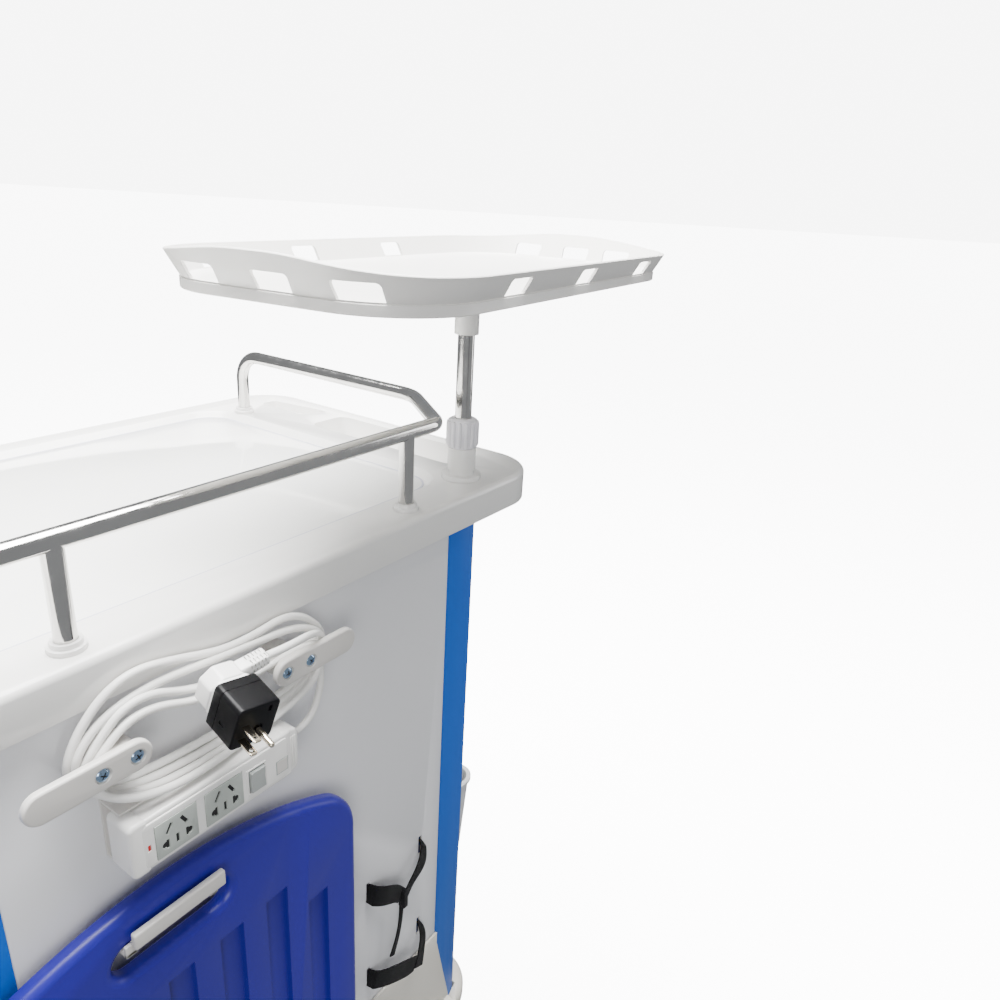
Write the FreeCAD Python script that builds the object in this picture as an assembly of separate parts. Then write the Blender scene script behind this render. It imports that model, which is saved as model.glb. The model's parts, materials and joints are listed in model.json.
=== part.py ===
import FreeCAD, Part
import math
import os
from FreeCAD import Vector as V

# Medication cart with an ABS top, four corner columns, four drawers, swivel shelf and rear accessories.
# All sizes in millimetres. The cart is drawn about its own centre line with the floor at z = 0,
# the drawers facing -Y and the rear panel facing +Y; the last step moves the origin to the middle
# of the footprint of the whole cart.

# ---- table top ----
H = 975.0                       # working surface above the floor
TOP_W, TOP_D, TOP_R = 850.0, 520.0, 66.0
LIP = 38.0                      # depth of the rim round the top
SKIN = 4.0                      # moulded wall
WELL = (-300.0, 300.0, -228.0, 206.0)   # sunken work area
WELL_DEPTH, WELL_SLOPE, WELL_R = 8.0, 7.0, 48.0
TROUGH = (336.5, 399.0, -70.0, 180.0)   # end trough: inner and outer x, front and back y
TROUGH_DEPTH = 30.0
MAT_T = 1.2                     # clear sheet in the well

# ---- guard rail ----
TUBE_R, TUBE_WALL = 8.0, 1.2
RAIL_Z = H + 83.4
RAIL_X0, RAIL_X1 = -312.8, 312.8
RAIL_BACK, RAIL_FRONT = 235.6, -180.0
RAIL_CHAMFER_X, RAIL_CHAMFER_Y = 75.0, 98.0
RAIL_BEND = 35.0                # bends above the front feet
RAIL_BEND_SIDE, RAIL_BEND_BACK = 55.0, 26.0
POST_X = (-189.0, 169.7)
FLANGE_R, FLANGE_STEP_R, FLANGE_H = 13.5, 11.0, 8.0
FIT = 0.05                      # radial clearance of a running fit

# ---- body ----
BODY_X, BODY_Y = 300.5, 249.7   # outer faces of the columns
COL = 52.6                      # column width
COL_WALL, COL_R = 3.0, 10.0
COL_FOOT, COL_TOP = H - 812.0, H - 20.3
PANEL_T = 3.0

# ---- base ----
PAN_X, PAN_Y, PAN_R = 342.0, 264.0, 58.0
PAN_Z0, PAN_Z1 = 129.0, 177.0
PAN_SKIN = 4.0
PANEL_Z0 = PAN_Z1 + 0.3
APRON_T = 3.0
APRON_TOP, APRON_SIDE_X = H - 646.0, 280.0
APRON_FRONT_TOP = 222.0
FOOT_TIP = (283.0, H - 812.0)      # lowest visible point of a column foot
FRAME_Z0, FRAME_Z1, FRAME_T = 155.0, PAN_Z1 - PAN_SKIN - 0.2, 3.0   # pressed steel sub-frame
FRAME_HOLE = (196.0, 140.0)

# ---- casters ----
WHEEL_R, WHEEL_W = 62.5, 30.0
CASTER_X, CASTER_Y = 238.0, 195.0
TRAIL = 34.0                    # axle behind the swivel axis
PLATE_Z0 = 150.0
PLATE_HALF = (44.0, 38.0)
KINGPIN_R, AXLE_R, LEG_X = 6.0, 5.0, 19.5
PEDAL_PIN_R, PEDAL_Y, PEDAL_Z = 3.0, -12.0, 131.0
BRAKED = (0, 2)                 # the two casters at the front

# ---- drawers, top to bottom: height of each front ----
FRONT_H = (110.0, 140.0, 180.0, 232.0)
FRONT_GAP = 4.0
FRONT_TOP = H - 74.0
LOCK_X, LOCK_Z, LOCK_R = 200.0, H - 55.0, 9.0
FRONT_Y = -250.5                # back face of the fronts
FRONT_T = 18.0
TUB_X, TUB_D, TUB_T = 228.0, 430.0, 3.0
RUNNER_X = 238.0                # outer edge of the runner flange on a drawer
RUNNER_T = 4.0

# ---- rear accessories ----
BOARD_X, BOARD_W = 138.0, 416.0
BOARD_TOP, BOARD_BOTTOM = H - 213.5, H - 639.0
BOARD_ARC_R, BOARD_CORNER_R = 400.0, 60.0
BOARD_Y0, BOARD_Y1 = 262.0, 277.7
BOARD_ROUND, BOARD_BACK_ROUND = 8.0, 3.0
SLOT_X, SLOT_Z0, SLOT_Z1 = (84.0, 192.0), H - 280.0, H - 249.0
GROOVE_PITCH, GROOVE_W, GROOVE_DEPTH = 51.0, 25.0, 7.0
GROOVE_TOP, GROOVE_TOP_OUTER = H - 316.0, H - 359.0
BRACKET_ARMS = (99.5, 167.5)    # left edges of the two arms
HOOK_Z = H - 75.0
HOOK_ARM = (92.0, 25.0, 7.0)    # length, height, thickness
HOOK_ENDS = (145.0, 31.0)       # inner ends of the left and right arms
HOOK_Y = 281.0                  # back face of the arms
STRIP = (14.0, 175.0, 262.0, 293.5, H - 176.0, H - 127.0)
STRIP_SOCKETS, STRIP_SWITCH = (137.5, 94.0), 62.0      # x of the two sockets and of the rocker
STRIP_MID = H - 153.5
STRAP_W, STRAP_T = 24.0, 2.5
STRAP_Z = (H - 464.0, H - 602.0)

# ---- swivel shelf ----
POLE_X, POLE_Y = -309.3, 215.8
POLE_R = 9.5
POLE_FOOT = H + 2.5
SHELF_A, SHELF_B, SHELF_R = 570.0, 285.0, 82.0
SHELF_TURN = 6.3                # degrees
SHELF_OFF = (19.0, 0.0)         # middle of the shelf from the pole
SHELF_Z = H + 226.6             # lower edge of the skirt
POLE_TOP = SHELF_Z + 1.5
NUT_RIBS, NUT_BORE_R = 14, POLE_R + 0.5
COLLAR_Z0 = H + 168.0
SKIRT, RIM, FLARE = 9.5, 21.7, 10.5
RIM_END_RISE = 10.0             # the rim stands higher at the short ends

# ---- side accessories, on the -X end ----
BIN_Y, BIN_W, BIN_OUT = 95.0, 186.0, -420.0
BIN_RIM, BIN_H = H - 518.0, 270.0
GRIP_Z, GRIP_R, GRIP_OUT, GRIP_Y = H - 208.0, 11.0, -384.0, 178.0

# ---- power cord ----
CORD_R = 3.3
ADAPTER_AT = (90.2, 320.0, H - 58.3)
ADAPTER_SIZE = (36.5, 33.0, 38.5)
# Pins on the front face: middle of the two flat ones, their spacing, and the round one beside them.
BLADE_AT, BLADE_PITCH, PIN_OFF = (9.3, -4.2), 12.7, 11.9
ADAPTER_TURN = (-9.3, -14.8, -5.9)     # degrees about Y, X and Z in that order
NECK, NECK_TURN = (22.0, 13.0), 19.0      # length and width of the plug's neck, and its tilt
COIL_Y = (260.5, 277.0)
COIL_FRONT = 287.0              # the lowest strands lie further out, on the strip


def box(x, y, z):
    return Part.makeBox(x[1] - x[0], y[1] - y[0], z[1] - z[0], V(x[0], y[0], z[0]))


def rod(radius, height, at, axis=V(0, 0, 1)):
    return Part.makeCylinder(radius, height, V(*at), axis)


def ring(outer, inner, height, at, axis=V(0, 0, 1)):
    return rod(outer, height, at, axis).cut(rod(inner, height, at, axis))


def rounded_wire(x, y, r, z):
    """Closed rectangle with round corners in a level plane."""
    (x0, x1), (y0, y1) = x, y
    corners = ((x1, y1, 0), (x0, y1, 90), (x0, y0, 180), (x1, y0, 270))
    edges, last = [], None
    for cx, cy, turn in corners:
        sx = 1 if cx == x1 else -1
        sy = 1 if cy == y1 else -1
        mid = V(cx - sx * r, cy - sy * r, z)
        pts = [mid + V(r * math.cos(math.radians(turn + a)), r * math.sin(math.radians(turn + a)), 0)
               for a in (0, 45, 90)]
        if last is not None:
            edges.append(Part.LineSegment(last, pts[0]).toShape())
        else:
            first = pts[0]
        edges.append(Part.Arc(*pts).toShape())
        last = pts[2]
    edges.append(Part.LineSegment(last, first).toShape())
    return Part.Wire(edges)


def rounded_block(x, y, r, z):
    face = Part.Face(rounded_wire(x, y, r, z[0]))
    return face.extrude(V(0, 0, z[1] - z[0]))


def rounded_loft(lower, upper):
    """Solid between two round-cornered rectangles, each given as (x, y, r, z)."""
    return Part.makeLoft([rounded_wire(*lower), rounded_wire(*upper)], True, True)


def grow(pair, by):
    return (pair[0] - by, pair[1] + by)


def plate(points, y0, y1):
    """Plate standing in the XZ plane, from y0 to y1."""
    wire = Part.makePolygon([V(x, y0, z) for x, z in points + points[:1]])
    return Part.Face(wire).extrude(V(0, y1 - y0, 0))


def round_edges(solid, radius, pick):
    edges = [e for e in solid.Edges if pick(e)]
    return solid.makeFillet(radius, edges)


def vertical(edge):
    return abs(edge.tangentAt(edge.FirstParameter).z) > 0.999


def along_y(edge):
    return abs(edge.tangentAt(edge.FirstParameter).y) > 0.999


def path(points, radii):
    """Straight runs joined by tangent arcs: one radius for each inner point."""
    edges, last = [], points[0]
    for before, corner, after, radius in zip(points, points[1:], points[2:], radii):
        a = (before - corner).normalize()
        b = (after - corner).normalize()
        half = a.getAngle(b) / 2
        cut = radius / math.tan(half)
        centre = corner + (a + b).normalize() * (radius / math.sin(half))
        start, end = corner + a * cut, corner + b * cut
        middle = centre + (corner - centre).normalize() * radius
        edges.append(Part.LineSegment(last, start).toShape())
        edges.append(Part.Arc(start, middle, end).toShape())
        last = end
    edges.append(Part.LineSegment(last, points[-1]).toShape())
    return Part.Wire(edges)


def sweep(wire, radius):
    start = wire.Edges[0]
    circle = Part.Circle(start.valueAt(start.FirstParameter), start.tangentAt(start.FirstParameter), radius)
    return wire.makePipeShell([Part.Wire(circle.toShape())], True, True)


def group(*solids):
    return Part.makeCompound(list(solids))


def fuse(first, *others):
    return first.multiFuse(list(others)).removeSplitter()


def mirror_x(shape):
    return shape.mirror(V(0, 0, 0), V(1, 0, 0))


# ------------------------------------------------------------------ table top

def trough_block(side, grown, z):
    x = sorted((side * (TROUGH[0] - grown), side * (TROUGH[1] + grown)))
    return rounded_block(x, (TROUGH[2] - grown, TROUGH[3] + grown), 14 + grown, z)


def finger_well(side, grown, z):
    """Small tapered well in front of the end trough."""
    pts = [(362 - grown, -202 - grown), (386 + grown, -202 - grown),
           (402 + grown, -98 + grown), (362 - grown, -118 + grown)]
    wire = Part.makePolygon([V(side * x, y, z[0]) for x, y in pts + pts[:1]])
    solid = Part.Face(wire).extrude(V(0, 0, z[1] - z[0]))
    return round_edges(solid, 8, vertical)


def table_top():
    x, y = (-TOP_W / 2, TOP_W / 2), (-TOP_D / 2, TOP_D / 2)
    top = rounded_block(x, y, TOP_R, (H - LIP, H))
    top = round_edges(top, 7, lambda e: abs(e.BoundBox.ZMin - H) < 0.01 and e.BoundBox.ZLength < 0.01)
    hollow = rounded_block(grow(x, -SKIN), grow(y, -SKIN), TOP_R - SKIN, (H - LIP, H - 20))
    top = top.cut(hollow)
    for side in (-1, 1):
        top = top.fuse(trough_block(side, 3.5, (H - LIP + 1, H - 19)))
        top = top.cut(trough_block(side, 0, (H - TROUGH_DEPTH, H + 1)))
        top = top.cut(finger_well(side, 0, (H - 12, H + 1)))
    wx, wy = WELL[:2], WELL[2:]
    floor = (grow(wx, -WELL_SLOPE), grow(wy, -WELL_SLOPE), WELL_R - WELL_SLOPE, H - WELL_DEPTH)
    well = rounded_loft(floor, (wx, wy, WELL_R, H + 0.01))
    top = top.cut(well)
    for px in (RAIL_X0, RAIL_X1):
        top = top.cut(rod(TUBE_R + FIT, 40, (px, RAIL_FRONT, H - 5)))
    return top.removeSplitter()


def clear_mat():
    z = H - WELL_DEPTH
    inset = -WELL_SLOPE - 3
    return rounded_block(grow(WELL[:2], inset), grow(WELL[2:], inset), WELL_R + inset, (z, z + MAT_T))


# ------------------------------------------------------------------ guard rail

def rail_points():
    cx, cy = RAIL_CHAMFER_X, RAIL_CHAMFER_Y
    return [V(RAIL_X0, RAIL_FRONT, H - 4), V(RAIL_X0, RAIL_FRONT, RAIL_Z),
            V(RAIL_X0, RAIL_BACK - cy, RAIL_Z), V(RAIL_X0 + cx, RAIL_BACK, RAIL_Z),
            V(RAIL_X1 - cx, RAIL_BACK, RAIL_Z), V(RAIL_X1, RAIL_BACK - cy, RAIL_Z),
            V(RAIL_X1, RAIL_FRONT, RAIL_Z), V(RAIL_X1, RAIL_FRONT, H - 4)]


def guard_rail():
    half = (RAIL_BEND, RAIL_BEND_SIDE, RAIL_BEND_BACK)
    wire = path(rail_points(), half + half[::-1])
    solid = sweep(wire, TUBE_R)
    posts = [rod(TUBE_R, RAIL_Z - H - 0.5, (x, RAIL_BACK, H + 0.5)) for x in POST_X]
    solid = fuse(solid, *posts)
    return solid.cut(sweep(wire, TUBE_R - TUBE_WALL))


def rail_flanges():
    feet = [(x, RAIL_BACK) for x in POST_X] + [(RAIL_X0, RAIL_FRONT), (RAIL_X1, RAIL_FRONT)]
    made = []
    for x, y in feet:
        low = ring(FLANGE_R, TUBE_R + FIT, FLANGE_H / 2, (x, y, H))
        high = ring(FLANGE_STEP_R, TUBE_R + FIT, FLANGE_H / 2, (x, y, H + FLANGE_H / 2))
        made.append(low.fuse(high).removeSplitter())
    return group(*made)


# ------------------------------------------------------------------ body

def column(sx, sy):
    x = sorted((sx * BODY_X, sx * (BODY_X - COL)))
    y = sorted((sy * BODY_Y, sy * (BODY_Y - COL)))
    z = (COL_FOOT, COL_TOP)
    outer = box(x, y, z)
    outer = round_edges(outer, COL_R, lambda e: vertical(e) and sx * e.CenterOfMass.x > BODY_X - 1
                        and sy * e.CenterOfMass.y > BODY_Y - 1)
    return outer.cut(box(grow(x, -COL_WALL), grow(y, -COL_WALL), z))


def back_panel():
    half = BODY_X - COL - 0.3
    panel = box((-half, half), (BODY_Y - PANEL_T - 1, BODY_Y - 1), (PANEL_Z0, COL_TOP))
    for z in STRAP_Z:
        for x in (-117.0, -211.0):
            panel = panel.cut(box((x - 3, x + 3), (BODY_Y - 10, BODY_Y + 1), (z - 15, z + 15)))
    return panel


def side_panel(side):
    half = BODY_Y - COL - 0.3
    x = sorted((side * (BODY_X - 1), side * (BODY_X - PANEL_T - 1)))
    return box(x, (-half, half), (PANEL_Z0, COL_TOP))


def apron(y0, y1, top):
    inner = BODY_X - COL
    slope = top - min(18, (top - PAN_Z1) / 2)
    pts = [(-inner, top), (inner, top), (inner, slope), (APRON_SIDE_X, PAN_Z1 - 1),
           (-APRON_SIDE_X, PAN_Z1 - 1), (-inner, slope)]
    return plate(pts, y0, y1)


def base_pan():
    """Moulded base: a skirt, open below, round the column feet, with a raised apron front and back."""
    x, y = (-PAN_X, PAN_X), (-PAN_Y, PAN_Y)
    pan = rounded_block(x, y, PAN_R, (PAN_Z0, PAN_Z1))
    pan = round_edges(pan, 18, lambda e: e.BoundBox.ZLength < 0.01)
    pan = pan.cut(rounded_block(grow(x, -6), grow(y, -6), PAN_R - 6, (PAN_Z0 - 1, PAN_Z1 - PAN_SKIN - 12)))
    pan = pan.cut(rounded_block(grow(x, -16), grow(y, -16), PAN_R - 16, (PAN_Z0, PAN_Z1 - PAN_SKIN)))
    for sx in (-1, 1):
        for sy in (-1, 1):
            cx = sorted((sx * (BODY_X + 0.3), sx * (BODY_X - COL - 0.3)))
            cy = sorted((sy * (BODY_Y + 0.3), sy * (BODY_Y - COL - 0.3)))
            pan = pan.cut(box(cx, cy, (PAN_Z0 - 5, PAN_Z1 + 5)))
            notch = [(sx * (FOOT_TIP[0] + dx), FOOT_TIP[1] + dz) for dx, dz in ((-5, 16), (0, 0), (18, 16))]
            ny = sorted((sy * (BODY_Y - 1), sy * (PAN_Y + 1)))
            pan = pan.cut(plate(notch, *ny))
    inner_x, inner_y = BODY_X - COL - 6, BODY_Y - COL - 6
    pan = pan.cut(box((-inner_x, inner_x), (-inner_y, inner_y), (PAN_Z0 - 5, PAN_Z1 + 5)))
    pan = pan.fuse(apron(BODY_Y + 0.3, BODY_Y + 0.3 + APRON_T, APRON_TOP))
    pan = pan.fuse(apron(-BODY_Y - 0.3 - APRON_T, -BODY_Y - 0.3, APRON_FRONT_TOP))
    return pan.removeSplitter()


def frame_outline(z, by):
    """Cross-shaped slab that reaches out between the column feet, grown by a wall."""
    inner_x, inner_y = BODY_X - COL - 1 + by, BODY_Y - COL - 1 + by
    long_way = box((-PAN_X + 20 - by, PAN_X - 20 + by), (-inner_y, inner_y), z)
    return long_way.fuse(box((-inner_x, inner_x), (-PAN_Y + 20 - by, PAN_Y - 20 + by), z)).removeSplitter()


def base_frame():
    """Pressed steel sub-frame with turned-up edges; it carries the casters."""
    hx, hy = FRAME_HOLE
    hole = ((-hx, hx), (-hy, hy))
    floor = frame_outline((FRAME_Z0, FRAME_Z0 + FRAME_T), 0).cut(box(*hole, (FRAME_Z0 - 1, FRAME_Z1)))
    edge = frame_outline((FRAME_Z0, FRAME_Z1), 0).cut(frame_outline((FRAME_Z0 - 1, FRAME_Z1 + 1), -FRAME_T))
    lip = box(grow(hole[0], FRAME_T), grow(hole[1], FRAME_T), (FRAME_Z0, FRAME_Z1))
    lip = lip.cut(box(*hole, (FRAME_Z0 - 1, FRAME_Z1 + 1)))
    return fuse(floor, edge, lip)


def cross_rail(z0, z1, depth):
    half = BODY_X - COL - 0.3
    return box((-half, half), (-BODY_Y + 3, -BODY_Y + 3 + depth), (z0, z1))


def front_edges():
    """Top and bottom of each drawer front."""
    z, out = FRONT_TOP, []
    for height in FRONT_H:
        out.append((z - height, z))
        z -= height + FRONT_GAP
    return out


def drawer_frame():
    """Lock rail above the drawers, one divider under each of them, and the keyhole."""
    lock = cross_rail(FRONT_TOP + FRONT_GAP, COL_TOP, 20)
    half = BODY_X - COL - 0.4
    cover = box((-half, half), (-BODY_Y - 12, -BODY_Y + 3), (FRONT_TOP + FRONT_GAP, H - LIP - 1))
    lock = lock.fuse(cover)
    lock = lock.cut(rod(LOCK_R + FIT, 60, (LOCK_X, -BODY_Y - 20, LOCK_Z), V(0, 1, 0)))
    rails = [cross_rail(low - FRONT_GAP, low + 4, 16) for low, _ in front_edges()]
    return group(lock.removeSplitter(), *rails)


def lock_core():
    """Lock barrel with a keyway, and the cam behind it that points down when locked."""
    face = -BODY_Y - 15
    barrel = rod(LOCK_R, 38, (LOCK_X, face, LOCK_Z), V(0, 1, 0))
    rim = rod(LOCK_R + 2.5, 2.6, (LOCK_X, face, LOCK_Z), V(0, 1, 0))
    keyway = box((LOCK_X - 1, LOCK_X + 1), (face - 1, face + 8), (LOCK_Z - 4, LOCK_Z + 4))
    cam = box((LOCK_X - 6, LOCK_X + 6), (face + 38, face + 41), (LOCK_Z - 27, LOCK_Z + 7))
    return fuse(barrel, rim, cam).cut(keyway)


# ------------------------------------------------------------------ drawers

def drawer_front(index):
    low, high = front_edges()[index]
    half = BODY_X - COL - 1
    slab = box((-half, half), (FRONT_Y - FRONT_T, FRONT_Y), (low, high))
    slab = round_edges(slab, 5, lambda e: e.CenterOfMass.y < FRONT_Y - FRONT_T + 0.1)
    slab = slab.cut(box((-half + 4, half - 4), (FRONT_Y - FRONT_T + 7, FRONT_Y + 1), (low + 4, high - 4)))
    grip_top = high - 14
    grip = box((-110, 110), (FRONT_Y - FRONT_T - 25, FRONT_Y - FRONT_T + 6), (grip_top - 26, grip_top))
    grip = round_edges(grip, 6, lambda e: e.CenterOfMass.y < FRONT_Y - FRONT_T - 24)
    gap_y = (FRONT_Y - FRONT_T - 20, FRONT_Y - FRONT_T)
    grip = grip.cut(box((-104, 104), gap_y, (grip_top - 30, grip_top - 6)))
    label = box((135, 215), (FRONT_Y - FRONT_T - 2, FRONT_Y - FRONT_T + 2), (grip_top - 32, grip_top - 2))
    window = box((138, 212), (FRONT_Y - FRONT_T - 1, FRONT_Y - FRONT_T), (grip_top - 29, grip_top))
    return fuse(slab, grip, label.cut(window))


def tub_span(index):
    """Bottom and top of a drawer tub."""
    low, high = front_edges()[index]
    return low + 10, high - 18


def drawer_tub(index):
    z0, z1 = tub_span(index)
    x, y = (-TUB_X, TUB_X), (FRONT_Y + 0.1, FRONT_Y + TUB_D)
    outer = rounded_block(x, y, 10, (z0, z1))
    tub = outer.cut(rounded_block(grow(x, -TUB_T), grow(y, -TUB_T), 7, (z0 + TUB_T, z1 + 1)))
    flange = box((-RUNNER_X, RUNNER_X), (y[0] + 12, y[1] - 12), (z1 - RUNNER_T, z1))
    flange = flange.cut(box(grow(x, -1), (y[0], y[1]), (z1 - RUNNER_T - 1, z1 + 1)))
    return fuse(tub, flange)


def guide_rails():
    """C-section guides that hold the runner flange of each tub."""
    made = []
    for index in range(len(FRONT_H)):
        top = tub_span(index)[1]
        y = (-BODY_Y + COL, BODY_Y - COL)
        rail = box((TUB_X + 2, BODY_X - COL + 40), y, (top - RUNNER_T - 4, top + 4))
        rail = rail.cut(box((TUB_X, RUNNER_X + 1), grow(y, 1), (top - RUNNER_T - 0.4, top + 0.4)))
        rail = rail.cut(box((RUNNER_X + 4, BODY_X), grow(y, 1), (top - RUNNER_T - 1, top + 5)))
        made += [rail, mirror_x(rail)]
    return group(*made)


# ------------------------------------------------------------------ casters

def caster_centres():
    """Swivel axes, each with the way its wheel trails at rest: towards the middle of the cart."""
    return [(sx * CASTER_X, sy * CASTER_Y, -sy) for sx in (-1, 1) for sy in (-1, 1)]


def place_caster(shape, x, y, way):
    """Put a shape drawn about its swivel axis, trailing towards +Y, under the cart."""
    if way < 0:
        shape.rotate(V(0, 0, 0), V(0, 0, 1), 180)
    shape.translate(V(x, y, 0))
    return shape


def caster_plates():
    """Top plates, each with its kingpin."""
    made = []
    for x, y, _ in caster_centres():
        a, b = PLATE_HALF
        top = box((x - a, x + a), (y - b, y + b), (PLATE_Z0, FRAME_Z0))
        made.append(fuse(top, rod(22, 6, (x, y, PLATE_Z0 - 6)), rod(KINGPIN_R, 14, (x, y, PLATE_Z0 - 14))))
    return group(*made)


def cross_pin(radius, half, y, z):
    return rod(radius, 2 * half, (-half, y, z), V(1, 0, 0))


def caster_fork():
    """Pressed fork and its axle bolt."""
    z1 = PLATE_Z0 - 6.4
    crown = rod(25, 5, (0, 0, z1 - 5)).fuse(box((-21, 21), (-20, TRAIL - 4), (z1 - 5, z1)))
    crown = crown.cut(rod(KINGPIN_R + FIT, 20, (0, 0, z1 - 10)))
    side = [(-20, z1), (TRAIL - 4, z1), (TRAIL + 12, WHEEL_R + 8), (TRAIL + 12, WHEEL_R - 12),
            (TRAIL - 12, WHEEL_R - 12), (-20, z1 - 20)]
    legs = []
    for s in (-1, 1):
        wire = Part.makePolygon([V(s * LEG_X - 1.5, y, z) for y, z in side + side[:1]])
        legs.append(Part.Face(wire).extrude(V(3, 0, 0)))
    fork = fuse(crown, *legs)
    fork = fork.cut(cross_pin(AXLE_R + FIT, 30, TRAIL, WHEEL_R))
    fork = fork.cut(cross_pin(PEDAL_PIN_R + FIT, 30, PEDAL_Y, PEDAL_Z))
    axle = cross_pin(AXLE_R, LEG_X + 1.6, TRAIL, WHEEL_R)
    heads = [rod(8, 4, (s * (LEG_X + 3.5) - 2, TRAIL, WHEEL_R), V(1, 0, 0)) for s in (-1, 1)]
    return group(fork, fuse(axle, *heads))


def caster_wheel():
    tread = cross_pin(WHEEL_R, WHEEL_W / 2, TRAIL, WHEEL_R)
    tread = tread.makeFillet(8, tread.Edges)
    for x in (-WHEEL_W / 2, WHEEL_W / 2 - 6):
        tread = tread.cut(ring(46, 16, 6, (x, TRAIL, WHEEL_R), V(1, 0, 0)))
    return tread.cut(cross_pin(AXLE_R + FIT, 30, TRAIL, WHEEL_R))


def brake_pedal():
    """Foot lever of a braked caster, pinned between the fork's legs, that reaches out below the skirt."""
    half = LEG_X - 3.5
    y0, z0 = PEDAL_Y, PEDAL_Z
    side = [(y0 + 4, z0 - 3), (y0 + 4, z0 + 3), (y0 - 2, z0 + 3), (-62, 111), (-86, 104),
            (-86, 98), (-62, 104), (y0 - 2, z0 - 3)]
    wire = Part.makePolygon([V(-half, y, z) for y, z in side + side[:1]])
    lever = Part.Face(wire).extrude(V(2 * half, 0, 0))
    return fuse(lever, cross_pin(PEDAL_PIN_R, LEG_X + 1.5, y0, z0))


# ------------------------------------------------------------------ swivel shelf

def pole_socket():
    at = (POLE_X, POLE_Y, H)
    solid = fuse(rod(23, 6, at), rod(15, 12, at), rod(16.4, 27, (POLE_X, POLE_Y, H + 11)),
                 rod(14.0, 30, (POLE_X, POLE_Y, H + 38)))
    return solid.cut(rod(POLE_R + FIT, 80, (POLE_X, POLE_Y, H + 2)))


def clamp_nut():
    """Ribbed nut, its wide bore round the socket's sleeve and a narrower one round the pole."""
    z0 = H + 38.3
    nut = rod(18, 34.5, (POLE_X, POLE_Y, z0))
    ribs = []
    for i in range(NUT_RIBS):
        a = 2 * math.pi * i / NUT_RIBS
        ribs.append(rod(2.4, 32, (POLE_X + 16.8 * math.cos(a), POLE_Y + 16.8 * math.sin(a), z0 + 1)))
    nut = fuse(nut, *ribs)
    nut = nut.cut(rod(14.3, 30, (POLE_X, POLE_Y, z0 - 0.1)))
    return nut.cut(rod(NUT_BORE_R, 60, (POLE_X, POLE_Y, z0)))


def shelf_pole():
    return ring(POLE_R, POLE_R - 1.5, POLE_TOP - POLE_FOOT, (POLE_X, POLE_Y, POLE_FOOT))


def shelf_collar():
    """Closed cap that turns on the pole and carries the tray."""
    cap = rod(13.6, SHELF_Z + 5.9 - COLLAR_Z0, (POLE_X, POLE_Y, COLLAR_Z0))
    bore = rod(POLE_R + FIT, POLE_TOP + 0.4 - COLLAR_Z0 + 1, (POLE_X, POLE_Y, COLLAR_Z0 - 1))
    return cap.cut(bore)


def tray_slots(z1):
    """Cutters for three round-ended slots in each side of the rim."""
    made = []
    for side in (-1, 1):
        reach = sorted((side * (SHELF_B / 2 - 22), side * (SHELF_B / 2 + 58)))
        made += [stadium((u - 17, u + 17), (z1 + 6, z1 + 14), reach) for u in (-165, -5, 150)]
        for v in (-62, 0, 62):
            slot = stadium((v - 15, v + 15), (z1 + 6.5, z1 + 15.5), (SHELF_A / 2 - 25, SHELF_A / 2 + 55))
            slot.rotate(V(0, 0, 0), V(0, 0, 1), -90 * side)
            made.append(slot)
    return made


def shelf_tray():
    x, y = (-SHELF_A / 2, SHELF_A / 2), (-SHELF_B / 2, SHELF_B / 2)
    z0, z1, z2 = SHELF_Z, SHELF_Z + SKIRT, SHELF_Z + SKIRT + RIM + RIM_END_RISE
    wall = 3.0
    pan = rounded_block(x, y, SHELF_R, (z0, z1))
    pan = pan.cut(rounded_block(grow(x, -wall), grow(y, -wall), SHELF_R - wall, (z0 - 1, z1 - 3.5)))
    flare = FLARE * (z2 - z1) / RIM
    rim = rounded_loft((x, y, SHELF_R, z1), (grow(x, flare), grow(y, flare), SHELF_R + flare, z2))
    hollow = rounded_loft((grow(x, -wall), grow(y, -wall), SHELF_R - wall, z1),
                          (grow(x, flare - wall), grow(y, flare - wall), SHELF_R + flare - wall, z2))
    rim = rim.cut(hollow)
    rim_z = z1 + RIM
    ends = SHELF_A / 2
    dip = [(-ends + 70, rim_z), (ends - 70, rim_z), (ends - 25, z2 + 1), (-ends + 25, z2 + 1)]
    rim = rim.cut(plate(dip, -SHELF_A, SHELF_A))
    rim = rim.cut(fuse(*tray_slots(z1)))
    tray = pan.fuse(rim).removeSplitter()
    tray.rotate(V(0, 0, 0), V(0, 0, 1), SHELF_TURN)
    tray.translate(V(POLE_X + SHELF_OFF[0], POLE_Y + SHELF_OFF[1], 0))
    return tray


# ------------------------------------------------------------------ rear board

def board_outline(y0, y1):
    """Straight sides, an arched top and round corners."""
    half = BOARD_W / 2
    arch = rod(BOARD_ARC_R, y1 - y0, (BOARD_X, y0, BOARD_TOP - BOARD_ARC_R), V(0, 1, 0))
    body = box((BOARD_X - half, BOARD_X + half), (y0, y1), (BOARD_BOTTOM, BOARD_TOP))
    return body.common(arch)


def stadium(x, z, y):
    r = (z[1] - z[0]) / 2
    mid = (z[0] + z[1]) / 2
    core = box((x[0] + r, x[1] - r), y, z)
    ends = [rod(r, y[1] - y[0], (c, y[0], mid), V(0, 1, 0)) for c in (x[0] + r, x[1] - r)]
    return fuse(core, *ends)


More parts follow.
